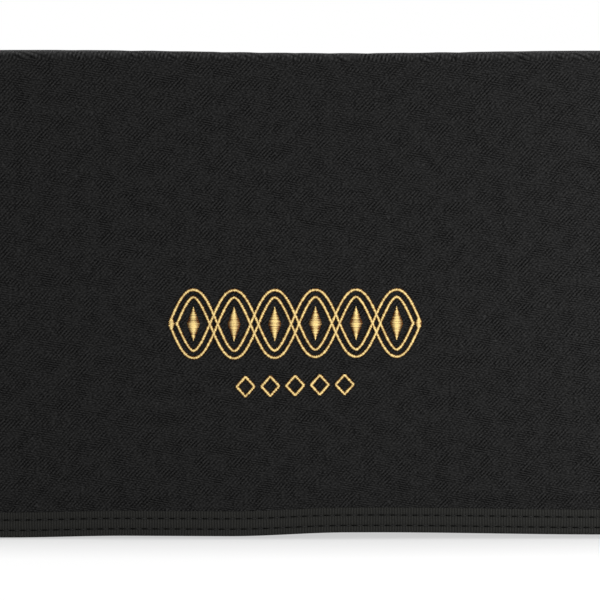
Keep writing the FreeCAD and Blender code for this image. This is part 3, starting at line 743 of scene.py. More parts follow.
# %% The flap's line through space
fold_axis = np.array(hinges["flap_fold"]["pos_m"]) / MM
strip_low, strip_high = span("flap_anchor_strip")
FLAP_HALF = (flap_high[0] - flap_low[0]) / 2
HEM = flap_low[2]
CORNER = 28.0
HEM_DROP = 1.0
FOLD_RADIUS = 1.0
ROOT_RADIUS = 3.5
TAPE_WIDTH = 10.3
TAPE = 0.5
FULL_HALF = (flap_high[1] - flap_low[1]) / 2
EDGE_HALF = 1.75
ROOT_HALF = 0.7
ROOT_NARROW, TAPER_START = 9.5, 14
back_y = strip_low[1] + ROOT_HALF
root_foot = strip_low[2] + 4
top_z = fold_axis[2]
front_y = fold_axis[1]
lengths = np.array(
    [
        top_z - ROOT_RADIUS - root_foot,
        ROOT_RADIUS * np.pi / 2,
        (back_y - ROOT_RADIUS) - (front_y + FOLD_RADIUS),
        FOLD_RADIUS * np.pi / 2,
        top_z - FOLD_RADIUS - HEM,
    ]
)
AT_ROOT, AT_BRIDGE, AT_FOLD, AT_DROP, FLAP_LONG = np.cumsum(lengths)
MIDDLE = (AT_BRIDGE + AT_FOLD) / 2


def flap_line(along):
    """Place and outward direction of the sheet's middle: up the back, a quarter turn, forward, a quarter turn
    and down the front. Gives y, z and the two parts of the normal."""
    root_turn = np.clip((along - AT_ROOT) / ROOT_RADIUS, 0, np.pi / 2)
    fold_turn = np.clip((along - AT_FOLD) / FOLD_RADIUS, 0, np.pi / 2)
    rise = np.clip(along, 0, AT_ROOT)
    forward = np.clip(along - AT_BRIDGE, 0, AT_FOLD - AT_BRIDGE)
    drop = np.clip(along - AT_DROP, 0, None)
    y = back_y - ROOT_RADIUS * (1 - np.cos(root_turn)) - forward - FOLD_RADIUS * np.sin(fold_turn)
    z = root_foot + rise + ROOT_RADIUS * np.sin(root_turn) - FOLD_RADIUS * (1 - np.cos(fold_turn)) - drop
    turn = root_turn + fold_turn
    return y, z, np.cos(turn), np.sin(turn)


def root_taper(along):
    """How much narrower each side is near the root, so the raw end hides under its strap."""
    return ROOT_NARROW * (1 - ease((along - TAPER_START) / (AT_BRIDGE - TAPER_START)))


def flap_half_width(along):
    """Half the sheet's width: a little narrower at the root, and drawn in by the round lower corners."""
    low = np.clip(along - (FLAP_LONG - CORNER), 0, CORNER)
    return FLAP_HALF - root_taper(along) - (CORNER - np.sqrt(np.maximum(CORNER**2 - low**2, 0)))


def inset(across, along):
    """How far a place is from the sheet's outline."""
    return round_inset(FLAP_HALF - root_taper(along) - np.abs(across), FLAP_LONG - along, CORNER)


FILL_MARGIN = TAPE_WIDTH + 1.0
FRONT_FILL_LOW = AT_DROP + 7
TOP_FILL_LOW = AT_BRIDGE + 5
front_fill = filling("front_pad", 2 * (FLAP_HALF - FILL_MARGIN), FLAP_LONG - FILL_MARGIN - FRONT_FILL_LOW)
top_fill = filling("top_pad", 2 * (FLAP_HALF - FILL_MARGIN), AT_FOLD - 5 - TOP_FILL_LOW)
FRONT_FULLNESS = 1.1
TOP_FULLNESS = 1.3


def padding(across, along, side=1):
    """Half the sheet's thickness: thin where it is sewn, full where the foam is. Only the outer side (1)
    swells with the foam's push, because the lining lies flat."""
    edge = inset(across, along)
    full = EDGE_HALF + (FULL_HALF - EDGE_HALF) * ease((edge - TAPE_WIDTH + 2.5) / 9)
    full = full - 0.35 * np.exp(-(((along - (AT_FOLD + AT_DROP) / 2) / 5) ** 2))
    if side > 0:
        full = full + FRONT_FULLNESS * front_fill(across, along - FRONT_FILL_LOW)
        full = full + TOP_FULLNESS * top_fill(across, along - TOP_FILL_LOW)
    at_root = ROOT_HALF + (full - ROOT_HALF) * ease((along - AT_ROOT) / 16)
    return np.where(along < AT_ROOT, ROOT_HALF, at_root)


def hem_lift(across):
    """The hem's slow wave. It rests low on the left, climbs in two steps to an arch right of the middle, and
    comes part of the way down again on the right."""
    first_step = 0.85 * ease((across + 120) / 50)
    arch = 1.65 * ease((across + 28) / 50)
    return first_step + arch - 1.1 * ease((across - 30) / 95) - HEM_DROP


def flap(across, along, off):
    """Space for flat places: the line, plus off times the normal, plus sag at the fold, the hem's wave, and
    shallow outward billows that grow towards the hem."""
    y, z, normal_y, normal_z = flap_line(along)
    down = ease((along - AT_DROP) / (FLAP_LONG - AT_DROP))
    over = ease((along - AT_BRIDGE) / 30) * (1 - 0.75 * down)
    sag = 0.80 * np.exp(-(((across - 50) / 75) ** 2)) + 0.25 * np.cos(across / 29)
    hollow = 1.1 * np.sin(np.pi * np.clip((along - AT_BRIDGE) / (AT_FOLD - AT_BRIDGE), 0, 1)) ** 2
    hollow = hollow * np.cos(np.pi * across / (2.2 * FLAP_HALF)) ** 2
    billow = down * (0.55 + 0.45 * np.cos(across / 31 + 0.8) * ease((along - AT_DROP) / 150))
    billow = billow + 0.35 * ease((along - AT_DROP) / 40) * np.sin(across / 47 + along / 38)
    squeeze = np.where((off < 0) & (along > AT_FOLD - 4) & (along < AT_DROP + 4), 0.82, 1.0)
    off = off * squeeze
    return np.stack(
        [
            across + 0 * along,
            y + off * normal_y - 0.9 * billow,
            z + off * normal_z - sag * over - hollow + hem_lift(across) * down**1.5,
        ],
        -1,
    )


print("flap, fold to hem:", round(FLAP_LONG - AT_FOLD, 1), "mm; whole sheet:", round(FLAP_LONG, 1), "mm")

# %% Outer cloth and lining of the flap


def flap_grid(low, high, columns, rows):
    """Flat places over the sheet between two lengths along it, with rows drawn together at the two rolls."""
    along = np.linspace(low, high, rows)
    for start, end in ((AT_ROOT, AT_BRIDGE), (AT_FOLD, AT_DROP)):
        if low < start and end < high:
            along = np.sort(np.concatenate([along, np.linspace(start - 1, end + 1, 13)]))
    share = np.sin(np.linspace(-1, 1, columns) * np.pi / 2 * 0.86) / math.sin(np.pi / 2 * 0.86)
    along = along[:, None] + 0 * share[None]
    return flap_half_width(along) * share[None], along


def flap_layer(name, low, high, side, material, slot):
    """One cloth of the flap, outer (side 1) or lining (side -1), as a closed sheet under 1 mm thick."""
    across, along = flap_grid(low, high, 121, 70 if high > MIDDLE else 36)
    half = padding(across, along, side)
    face = flap(across, along, side * half)
    back = flap(across, along, side * (half - 0.6))
    return slab(name, face, back, np.stack([across, -along], -1), material, slot)


flap_parts = {"front": (MIDDLE, FLAP_LONG, []), "back": (0.0, MIDDLE, [])}
for side_name, (low, high, pieces) in flap_parts.items():
    pieces.append(flap_layer(f"flap_{side_name}_cloth", low, high, 1, TWILL, "twill"))
    pieces.append(flap_layer(f"flap_{side_name}_inner_cloth", low, high, -1, LINING, "lining_cloth"))
    print(side_name, "part of the flap:", len(pieces[0].data.vertices), "points")

# %% [markdown]
# The binding is a ribbed tape folded over the edge, so its section is a narrow U. The U is carried along the
# flat outline of the sheet: down one side, round the corner, along the hem and up the other side.

# %% Binding of the flap
UPPER_ROW = 7.1
LOWER_ROW = 2.7
GROOVE = 0.24
TAPE_START = 12.0


def edge_path(low, high, whole):
    """Flat places and inward directions along the edge. The whole path runs down the left side, along the hem
    and up the right side; otherwise it is the right side only."""
    straight_end = min(high, FLAP_LONG - CORNER)
    along = np.linspace(low, straight_end, max(int((straight_end - low) / 1.6), 12))
    across = flap_half_width(along)
    inward = np.stack([-np.ones_like(along), np.zeros_like(along)], -1)
    side = np.stack([across, along], -1)
    if not whole:
        return side, inward
    turn = np.linspace(0, np.pi / 2, 26)[1:]
    centre = np.array([FLAP_HALF - CORNER, FLAP_LONG - CORNER])
    way = np.stack([np.cos(turn), np.sin(turn)], -1)
    bend = centre + CORNER * way
    hem_x = np.linspace(FLAP_HALF - CORNER, -(FLAP_HALF - CORNER), 180)[1:-1]
    hem = np.stack([hem_x, np.full_like(hem_x, FLAP_LONG)], -1)
    up = np.tile([[0.0, -1.0]], (len(hem), 1))
    half_path = np.concatenate([side, bend])
    half_way = np.concatenate([inward, -way])
    flip = np.array([-1.0, 1.0])
    path = np.concatenate([half_path, hem, half_path[::-1] * flip])
    return path, np.concatenate([half_way, up, half_way[::-1] * flip])


def tape_relief(into):
    """The tape sinks under its two rows of stitches and swells between them."""
    upper = np.exp(-(((into - UPPER_ROW) / 0.75) ** 2))
    lower = np.exp(-(((into - LOWER_ROW) / 0.75) ** 2))
    between = np.exp(-(((into - (UPPER_ROW + LOWER_ROW) / 2) / 1.4) ** 2))
    return 0.14 * between - GROOVE * (upper + lower)


def tape_section(width, half, tape):
    """A folded tape as a closed U: in from the edge on one face, out round the edge, in on the other. Gives
    the distance in from the edge and the distance off the middle."""
    turn = np.linspace(np.pi / 2, -np.pi / 2, 13)
    flat_part = np.linspace(width, half * 0.5, 24)[:-1]
    count = len(flat_part)
    relief = tape_relief(flat_part)
    relief[0] -= 0.2
    outer_in = np.concatenate([flat_part, half * 0.5 - (half + tape) * 0.62 * np.cos(turn), flat_part[::-1]])
    outer_off = np.concatenate([np.ones(count), np.sin(turn), -np.ones(count)]) * (half + tape)
    crown = np.concatenate([relief, np.zeros(13), -relief[::-1]])
    inner_in = np.concatenate([flat_part, half * 0.5 - half * 0.5 * np.cos(turn), flat_part[::-1]])
    inner_off = np.concatenate([np.ones(count), np.sin(turn), -np.ones(count)]) * (half - 0.35)
    into = np.concatenate([outer_in, inner_in[::-1]])
    return into, np.concatenate([outer_off + crown, inner_off[::-1]])


def flap_tape(name, low, high, whole, sign=1):
    """The folded tape along the flap's edge."""
    path, inward = edge_path(low, high, whole)
    into, off = tape_section(TAPE_WIDTH, EDGE_HALF, TAPE)
    places = path[:, None] + inward[:, None] * into[None, :, None]
    thin = ease((path[:, 1] - AT_ROOT) / 16)[:, None]
    ratio = (ROOT_HALF + TAPE) / (EDGE_HALF + TAPE)
    rings = flap(sign * places[..., 0], places[..., 1], off[None] * (ratio + (1 - ratio) * thin))
    flat = spread(run_length(path)[:, None], into[None] * np.sign(off)[None])
    return swept(name, rings, flat, GROSGRAIN, "grosgrain")


def edge_stitches(name, low, high, whole, into, face, sign=1):
    """A row of lockstitches along the flap's edge, a set distance in, on the outer or the lining face."""
    path, inward = edge_path(low, high, whole)
    places = path + inward * into
    lift = face * (EDGE_HALF + TAPE - GROOVE + 0.04)
    thick = ROOT_HALF + TAPE + (EDGE_HALF - ROOT_HALF) * ease((places[:, 1] - AT_ROOT) / 16) - GROOVE + 0.04

    def on_tape(across, along, off):
        return flap(across, along, face * (thick + (off - lift) * face) if np.shape(across) == thick.shape else off)

    return stitches(name, on_tape, sign * places[:, 0], places[:, 1], "grosgrain", lift=lift)


flap_parts["front"][2].append(flap_tape("flap_front_tape", MIDDLE, FLAP_LONG, True))
for face, face_name in ((1, "out"), (-1, "in")):
    for into, row in ((UPPER_ROW, "upper"), (LOWER_ROW, "lower")):
        flap_parts["front"][2].append(
            edge_stitches(f"flap_front_stitch_{row}_{face_name}", MIDDLE, FLAP_LONG, True, into, face)
        )
for sign, side_name in ((1, "right"), (-1, "left")):
    flap_parts["back"][2].append(flap_tape(f"flap_back_tape_{side_name}", TAPE_START, MIDDLE, False, sign))
    for into, row in ((UPPER_ROW, "upper"), (LOWER_ROW, "lower")):
        flap_parts["back"][2].append(
            edge_stitches(f"flap_back_stitch_{row}_{side_name}", TAPE_START, MIDDLE, False, into, 1, sign)
        )
print("flap pieces so far:", sum(len(part[2]) for part in flap_parts.values()))

# %% [markdown]
# ## The embroidery
# Satin stitch is hundreds of short threads laid side by side across a narrow column. Each column here is a
# curve with a width, and every thread spans it as a low arch. The emblem is a plain braid of two waving
# strands with a lozenge in each eye, and a row of small lozenges sits below it.

# %% Satin stitch
emblem_low, emblem_high = span("emblem_embroidery")
row_low, row_high = span("row_embroidery")
STRAND = 4.4
LINE = 1.35
THREAD_STEP = 0.36


def face_place(x, z):
    """Flat place on the flap for a place on its front."""
    return x, AT_DROP + (top_z - FOLD_RADIUS - z)


def on_face(x, z, lift):
    """A point on the flap's front face, raised by lift."""
    across, along = face_place(x, z)
    return flap(across, along, padding(across, along) + lift)


def satin(centre, width, slant=0.25):
    """Start, end and normal of each thread across a column: centre is a dense path on the front, width its
    width at each point. Threads lean forward by slant times the width."""
    marks = walk(centre, THREAD_STEP)
    middle = pick(centre, marks)
    wide = np.interp(marks, np.arange(len(centre)), np.broadcast_to(width, (len(centre),)))
    before = pick(centre, np.clip(marks - 0.6, 0, len(centre) - 1))
    after = pick(centre, np.clip(marks + 0.6, 0, len(centre) - 1))
    way = unit(after - before)
    cross = across_of(way)
    jitter = rng.normal(0, 0.05, (len(middle), 2))
    reach = cross * (wide / 2)[:, None] + way * (wide * slant / 2)[:, None]
    low = middle - reach + jitter
    high = middle + reach + rng.normal(0, 0.05, (len(middle), 2))
    start = on_face(low[:, 0], low[:, 1], 0.05)
    end = on_face(high[:, 0], high[:, 1], 0.05)
    normal = unit(on_face(middle[:, 0], middle[:, 1], 1.0) - on_face(middle[:, 0], middle[:, 1], 0.0))
    return start, end, normal, np.minimum(0.3 + 0.2 * wide, 0.7)


def sewn(name, columns):
    """All columns as one piece of gold thread."""
    parts = [satin(*column) for column in columns]
    start, end, normal, arch = (np.concatenate(values) for values in zip(*parts))
    radius = 0.21 + rng.normal(0, 0.012, len(start))
    print(name, "threads:", len(start))
    return threads(name, start, end, normal, radius, arch, GOLD_THREAD, "gold_thread", rings=6, sides=5, blunt=0.6)


def braid():
    """The emblem's columns: two sine strands that cross, and a filled lozenge in each eye."""
    eyes = 6
    middle_z = (emblem_low[2] + emblem_high[2]) / 2
    reach = (emblem_high[0] - emblem_low[0] - STRAND) / 2
    swing = (emblem_high[2] - emblem_low[2] - STRAND) / 2
    columns = []
    share = np.linspace(0, 1, 900)
    for sign in (1, -1):
        path = np.stack([reach * (2 * share - 1), middle_z + sign * swing * np.sin(eyes * np.pi * share)], -1)
        across = across_of(unit(np.gradient(path, axis=0)))
        for side in (1, -1):
            columns.append((path + side * across * (STRAND - LINE) / 2, LINE, 0.2))
    eye = 2 * reach / eyes
    for number in range(eyes):
        x = (number + 0.5) * eye - reach
        height = 0.55 * swing
        level = np.linspace(-height, height, 120)
        path = np.stack([np.full_like(level, x), middle_z + level], -1)
        wide = 2 * 0.15 * eye * (1 - np.abs(level) / height) + 0.4
        columns.append((path, wide, 0.0))
    for sign in (1, -1):
        level = np.linspace(-2.6, 2.6, 60)
        path = np.stack([np.full_like(level, sign * (reach + 0.6)), middle_z + level], -1)
        columns.append((path, 0.5 + 2.6 * (1 - np.abs(level) / 2.6), 0.0))
    return columns


def lozenges():
    """The lower row's columns: the four sides of each outlined lozenge."""
    count = 5
    middle_z = (row_low[2] + row_high[2]) / 2
    pitch = (row_high[0] - row_low[0]) / (count - 0.12)
    half_x, half_z = 0.44 * pitch, (row_high[2] - row_low[2]) / 2
    columns = []
    for number in range(count):
        x = (number - (count - 1) / 2) * pitch
        inner_x, inner_z = half_x - LINE * 0.62, half_z - LINE * 0.62
        corners = [(x, inner_z), (x + inner_x, 0), (x, -inner_z), (x - inner_x, 0), (x, inner_z)]
        for low, high in zip(corners[:-1], corners[1:]):
            across, up = line(low, high, step=0.2)
            columns.append((np.stack([across, middle_z + up], -1), LINE, 0.1))
    return columns


emblem = sewn("emblem_threads", braid())
lower_row = sewn("row_threads", lozenges())

# %% [markdown]
# ## The case
# The case is two padded panels, piped round their edges to one long gusset that forms both sides and the
# base. Full cloth bags relax: the back bellies out above and below its zip, the sides draw in low down, and
# the rim dips in the middle. One function gives that ease to every piece of the case, so seams stay shut.

# %% How the case relaxes
case_high = span("mouth_binding")[1]
panel_low, panel_high = span("back_panel")
gusset_high = span("side_gusset_right")[1]
zip_low, zip_high = span("zipper_coil")
HALF_X = gusset_high[0]
RIM_Z = gusset_high[2]
PANEL_FACE = panel_high[1]
PANEL_HALF = panel_high[0]
PANEL_FOOT = panel_low[2]
ZIP_Z = (zip_low[2] + zip_high[2]) / 2
ZIP_HALF = 110.0
WINDOW = 5.0
ZIP_SEAM = ZIP_HALF + 2.6
CLOTH = 1.2
SEAM_Y = 43.0
GUSSET_HALF = 39.6
DRAW_HIGH = 124
CASE_CORNER = 20.0
PANEL_CORNER = CASE_CORNER - 4.6
FOOT_FLAT = 32.0
FOOT_RISE = 3.4


def relax(points):
    """Moves points of the case: out at the back in two lobes, in at the sides low down, down in the middle of
    the rim, and up along the two long edges of the base."""
    x, y, z = np.moveaxis(points, -1, 0)
    middle = np.cos(np.clip(np.pi * x / (2 * HALF_X), -np.pi / 2, np.pi / 2)) ** 2
    lower = np.sin(np.pi * np.clip(z / (ZIP_Z - 7), 0, 1)) ** 2
    upper = np.sin(np.pi * np.clip((z - ZIP_Z - 7) / (RIM_Z - ZIP_Z - 7), 0, 1)) ** 2
    back = np.clip(y / PANEL_FACE, 0, 1)
    out = back * middle * (2.2 * lower + 1.3 * upper)
    side = (1 - np.clip(y / PANEL_FACE, -1, 1) ** 2) * np.sin(np.pi * np.clip(z / DRAW_HIGH, 0, 1)) ** 2
    draw = 2.4 * side * np.clip(x / HALF_X, -1, 1)
    dip = 0.9 * middle * np.clip(z / RIM_Z, 0, 1) ** 4
    rise = FOOT_RISE * ease((np.abs(y) - FOOT_FLAT) / (PANEL_FACE - FOOT_FLAT)) * np.exp(-np.clip(z, 0, None) / 30)
    return np.stack([x - draw, y + out, z - dip + rise], -1)


def plate(half, low, high, corner, columns, rows, more_x=(), more_z=()):
    """A grid of x and z over an upright plate with two round lower corners."""
    rounding = low + corner * (1 - np.cos(np.linspace(0, np.pi / 2, 10)))
    z = np.unique(np.concatenate([rounding, np.linspace(low + corner, high, rows), more_z]).round(6))
    drop = np.clip(low + corner - z, 0, corner)
    wide = half - (corner - np.sqrt(np.maximum(corner**2 - drop**2, 0)))
    share = np.unique(np.concatenate([np.linspace(-1, 1, columns), np.array(more_x) / half]).round(9))
    return wide[:, None] * share[None], z[:, None] + 0 * share[None]


def plate_inset(x, z, half, low, corner):
    """How far a place is from a plate's sides and foot."""
    return round_inset(half - np.abs(x), z - low, corner)


def case_face(side, x, z, off):
    """The face of the front (side -1) or back (side 1) panel: flat, with a soft dip along its seams."""
    edge = plate_inset(x, z, PANEL_HALF, PANEL_FOOT, PANEL_CORNER)
    dip = 1.3 * np.exp(-np.maximum(edge, 0) / 5)
    fill = 0.0
    if side > 0:
        fill = lower_back_fill(x, z - PANEL_FOOT - FILL_INSET) + upper_back_fill(x, z - ZIP_Z - 11)
    y = side * (PANEL_FACE - dip + BACK_FULLNESS * fill + off)
    return relax(spread(x, y, z))


def back_face(x, z, off):
    """The back panel's face, with the cloth turned in along the zip's window."""
    high_part = WINDOW - np.abs(z - ZIP_Z)
    reach = ZIP_HALF - np.abs(x)
    near = np.maximum(-high_part, -reach)
    turn = 0.9 * np.exp(-np.maximum(near, 0) / 1.2)
    return case_face(1, x, z, off - turn)


def front_face(x, z, off):
    """The front panel's face."""
    return case_face(-1, x, z, off)


BACK_FULLNESS = 0.9
FILL_INSET = 8.0
lower_back_fill = filling("back_lower_pad", 2 * (PANEL_HALF - FILL_INSET), ZIP_Z - 18 - PANEL_FOOT)
upper_back_fill = filling("back_upper_pad", 2 * (PANEL_HALF - FILL_INSET), strip_low[2] - ZIP_Z - 14)


# %% Front and back panels
TURN_ROWS = np.array([0, 0.4, 1.0, 1.8, 3.0, 5.0])
window_x = np.concatenate([ZIP_HALF + TURN_ROWS, -ZIP_HALF - TURN_ROWS])
window_z = np.concatenate([ZIP_Z + WINDOW + TURN_ROWS, ZIP_Z - WINDOW - TURN_ROWS])
x, z = plate(PANEL_HALF, PANEL_FOOT, RIM_Z, PANEL_CORNER, 81, 50, window_x, window_z)
mid_x = (x[:-1, :-1] + x[1:, 1:]) / 2
mid_z = (z[:-1, :-1] + z[1:, 1:]) / 2
keep = ~((np.abs(mid_x) < ZIP_HALF) & (np.abs(mid_z - ZIP_Z) < WINDOW))
back_panel = slab(
    "back_panel_cloth", back_face(x, z, 0), back_face(x, z, -CLOTH), np.stack([x, z], -1), TWILL, "twill", keep
)
x, z = plate(PANEL_HALF, PANEL_FOOT, RIM_Z, PANEL_CORNER, 81, 50)
front_panel = slab(
    "front_panel_cloth", front_face(x, z, 0), front_face(x, z, -CLOTH), np.stack([-x, z], -1), TWILL, "twill"
)
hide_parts("back_panel", "back_foam")
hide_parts("front_panel", "front_foam")
case_pieces = [back_panel, front_panel]


def sew(*row, **how):
    """A row of stitches that belongs to the case."""
    case_pieces.append(stitches(*row, **how))


print("panels:", len(back_panel.data.vertices), len(front_panel.data.vertices), "points")

# %% Gusset and piping


def round_path(half, foot, top, radius, off):
    """Down one side, round a corner, along the foot, round the other and up, moved outwards by off. Gives
    x, z and the outward normal."""
    turn = np.linspace(0, np.pi / 2, 14)
    side_z = np.linspace(top, foot + radius, 60)[:-1]
    left = np.stack([np.full_like(side_z, -half), side_z], -1)
    left_way = np.tile([[-1.0, 0.0]], (len(side_z), 1))
    way = np.stack([-np.cos(turn), -np.sin(turn)], -1)
    bend = np.array([-half + radius, foot + radius]) + radius * way
    foot_x = np.linspace(-half + radius, 0, 40)[1:]
    base = np.stack([foot_x, np.full_like(foot_x, foot)], -1)
    base_way = np.tile([[0.0, -1.0]], (len(foot_x), 1))
    places = np.concatenate([left, bend, base])
    ways = np.concatenate([left_way, way, base_way])
    flip = np.array([-1.0, 1.0])
    places = np.concatenate([places, places[-2::-1] * flip])
    ways = np.concatenate([ways, ways[-2::-1] * flip])
    return places + off * ways, ways


depth = np.linspace(-GUSSET_HALF, GUSSET_HALF, 25)
layers = []
for off in (0.0, -CLOTH):
    places, _ = round_path(HALF_X, 0.0, RIM_Z, CASE_CORNER, off)
    grid = spread(places[:, None, 0], depth[None], places[:, None, 1])
    layers.append(relax(grid))
run = run_length(places)
flat = spread(depth[None], -run[:, None])
gusset = slab("gusset_cloth", layers[0], layers[1], flat, TWILL, "twill")
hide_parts("side_gusset_left", "side_gusset_right", "bottom_panel")
case_pieces.append(gusset)


def piping(name, side):
    """A round cord in a seam, its cloth sewn tight, tucked under the rim's tape at both ends."""
    radius = 2.2
    places, ways = round_path(HALF_X - radius, radius, RIM_Z - 9.5, CASE_CORNER - radius, 0.0)
    turn = np.linspace(0, 2 * np.pi, 16, endpoint=False)
    girth = radius * (1 - 0.35 * np.exp(-run_length(places) / 3) - 0.35 * np.exp(-run_length(places)[::-1] / 3))
    out = girth[:, None] * np.cos(turn)[None]
    x = places[:, None, 0] + ways[:, None, 0] * out
    z = places[:, None, 1] + ways[:, None, 1] * out
    y = side * (SEAM_Y - radius) + girth[:, None] * np.sin(turn)[None]
    rings = relax(np.stack([x, y, z], -1))
    flat = spread(run_length(places)[:, None], turn[None] * radius)
    return swept(name, rings, flat, PIPING, "piping")


for name, side in (("front_piping", -1), ("back_piping", 1)):
    cord = piping(f"{name}_cord", side)
    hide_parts(name)
    case_pieces.append(cord)


def panel_seam(name, face):
    """A topstitch row a little inside a panel's piped seam."""
    places, _ = round_path(PANEL_HALF - 4.5, PANEL_FOOT + 4.5, RIM_Z - 12, PANEL_CORNER - 3, 0.0)
    return stitches(name, face, places[:, 0], places[:, 1], "twill", lift=0.05, pitch=3.6)


case_pieces.append(panel_seam("back_seam_stitch", back_face))
case_pieces.append(panel_seam("front_seam_stitch", front_face))
print("case pieces:", len(case_pieces))

# %% [markdown]
# ## Lining and rim
# The lining is a loose inner bag. It is worked out as one loop of the mouth carried down, round the lower
# corners and in to a line along the base, so it has no open seam. The rim's tape covers all the raw edges.

# %% Loops round the mouth


def loop_shape(long_count=56, short_count=18, turn_count=7):
    """A rounded rectangle as four arrays: which corner centre each point hangs on, and its way out from it."""
    along = np.linspace(-1, 1, long_count, endpoint=False)
    beside = np.linspace(-1, 1, short_count, endpoint=False)
    turn = np.linspace(0, np.pi / 2, turn_count, endpoint=False)
    flat, rise = np.ones_like(along), np.ones_like(beside)
    bend = np.ones_like(turn)
    parts = [
        (along, -flat, 0 * along, -flat),
        (bend, -bend, np.sin(turn), -np.cos(turn)),
        (rise, beside, rise, 0 * beside),
        (bend, bend, np.cos(turn), np.sin(turn)),
        (-along, flat, 0 * along, flat),
        (-bend, bend, -np.sin(turn), np.cos(turn)),
        (-rise, -beside, -rise, 0 * beside),
        (-bend, -bend, -np.cos(turn), -np.sin(turn)),
    ]
    return [np.concatenate(values) for values in zip(*parts)]


CENTRE_X, CENTRE_Y, OUT_X, OUT_Y = loop_shape()


def loop(half_x, half_y, radius):
    """Points of rounded rectangles, one row for each size."""
    half_x, half_y, radius = (np.atleast_1d(np.asarray(v, float))[:, None] for v in (half_x, half_y, radius))
    return CENTRE_X * (half_x - radius) + OUT_X * radius, CENTRE_Y * (half_y - radius) + OUT_Y * radius


def close_loop(grid):
    """Repeats the first column at the end."""
    return np.concatenate([grid, grid[:, :1]], 1)


def lining_layer(grow):
    """One face of the lining, from the rim down and in to a line along the base."""
    low, high = span("lining")
    half_x, half_y, foot = high[0] - 0.8 + grow, high[1] - 0.8 + grow, low[2] + 0.8 - grow
    bend = CASE_CORNER - 2 + grow
    turn = np.linspace(0, np.pi / 2, 12)
    straight = np.linspace(RIM_Z - 1, foot + bend, 34)
    size_x = np.concatenate([np.full(34, half_x), half_x - bend * (1 - np.cos(turn[1:]))])
    level = np.concatenate([straight, foot + bend * (1 - np.sin(turn[1:]))])
    shrink = np.linspace(1, 0, 8)[1:]
    size_x = np.concatenate([size_x, (half_x - bend) * (0.75 + 0.25 * shrink)])
    size_y = np.concatenate([np.full(45, half_y), half_y * shrink])
    level = np.concatenate([level, np.full(7, foot)])
    radius = np.minimum(3.0, size_y)
    x, y = loop(size_x, size_y, radius)
    puff = 0.5 * np.sin(x / 23 + level[:, None] / 31) * (size_y[:, None] > half_y * 0.9)
    z = level[:, None] + 0 * x
    return relax(np.stack([close_loop(x), close_loop(y - np.sign(y) * np.abs(puff)), close_loop(z)], -1))


outer_layer, inner_layer = lining_layer(0.8), lining_layer(0.0)
run = np.linalg.norm(np.diff(inner_layer, axis=1), axis=2).cumsum(1)
run = np.concatenate([np.zeros((len(run), 1)), run], 1)[:1] + 0 * inner_layer[..., 0]
fall = np.concatenate([[0], np.linalg.norm(np.diff(inner_layer[:, 20], axis=0), axis=1).cumsum()])
lining = slab(
    "lining_bag", outer_layer, inner_layer, np.stack([run, -fall[:, None] + 0 * run], -1), LINING, "lining_cloth",
    closed=True,
)
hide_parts("lining", "base_foam")
case_pieces.append(lining)

# %% Rim tape
RIM_TAPE = 11.0
rim_out = (case_high[0], case_high[1], 4.0)
rim_in = (span("lining")[1][0] - 1.4, span("lining")[1][1] - 1.4, 2.5)
out_x, out_y = loop(*rim_out)
in_x, in_y = loop(*rim_in)
top = case_high[2]
turn = np.linspace(0, np.pi, 15)
share = np.concatenate([[0, 0, 0], 0.5 - 0.5 * np.cos(turn), [1, 1, 1], [0.8, 0.2]])
sides = np.array([top - RIM_TAPE, top - RIM_TAPE + 0.3, top - 6])
level = np.concatenate([sides, top - 2.2 + 2.2 * np.sin(turn), sides[::-1], [top - RIM_TAPE] * 2])
x = out_x.T * (1 - share) + in_x.T * share
y = out_y.T * (1 - share) + in_y.T * share
z = level[None] + 0 * x
rings = relax(np.stack([x, y, z], -1))
around = np.concatenate([[0], np.hypot(np.diff(out_x[0]), np.diff(out_y[0])).cumsum()])
flat = spread(around[:, None], np.linspace(0, 34, len(share))[None])
rim = swept("rim_tape", rings, flat, GROSGRAIN, "grosgrain", closed=True)
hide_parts("mouth_binding")
case_pieces.append(rim)


def rim_side(sizes, sign):
    """One side of the rim as a surface: place round the loop, height, and distance off it."""
    ring_x, ring_y = (np.append(v[0], v[0][0]) for v in loop(*sizes))
    way_x, way_y = (np.append(v, v[0]) for v in (OUT_X, OUT_Y))

    def surface(place, height, off):
        index = np.arange(len(ring_x))
        x = np.interp(place, index, ring_x) + sign * off * np.interp(place, index, way_x)
        y = np.interp(place, index, ring_y) + sign * off * np.interp(place, index, way_y)
        return relax(np.stack([x, y, height + 0 * x], -1))

    return surface


for sizes, sign, side in ((rim_out, 1, "out"), (rim_in, -1, "in")):
    for height, row in ((top - RIM_TAPE + 1.4, "lower"), (top - 4.0, "upper")):
        place = np.linspace(0, len(OUT_X), 900)
        sew(f"rim_stitch_{row}_{side}", rim_side(sizes, sign), place, height, "grosgrain", lift=0.03)
print("lining and rim:", len(lining.data.vertices), len(rim.data.vertices), "points")

# %% [markdown]
# ## Front pocket, pen loops and patches
# A patch pocket is a flat piece sewn on three sides, and its own fullness makes it stand off the panel.
# Its top edge is bound with the same ribbed tape as the flap. The pen loops are one elastic, sewn down
# between arches.

# %% Pocket
pocket_low, pocket_high = span("front_pocket")
POCKET_HALF = pocket_high[0]
POCKET_CORNER = 10.0
POCKET_ROOM = -PANEL_FACE - pocket_low[1]
pocket_fill = filling("pocket", 2 * (POCKET_HALF - 4), pocket_high[2] - TAPE_WIDTH - pocket_low[2])


def pocket_face(x, z, off):
    """The pocket's face: flat on the panel round its seam, then full."""
    edge = plate_inset(x, z, POCKET_HALF, pocket_low[2], POCKET_CORNER)
    room = 1.35 + (POCKET_ROOM - 1.35) * ease((edge - 5) / 16)
    quilt = 0.25 * np.sin(x / 21) * np.sin(z / 26) * ease((edge - 8) / 20)
    quilt = quilt - 0.5 * pocket_fill(x, z - pocket_low[2] - 4)
    y = -PANEL_FACE - room + quilt - off
    return relax(spread(x, y, z))


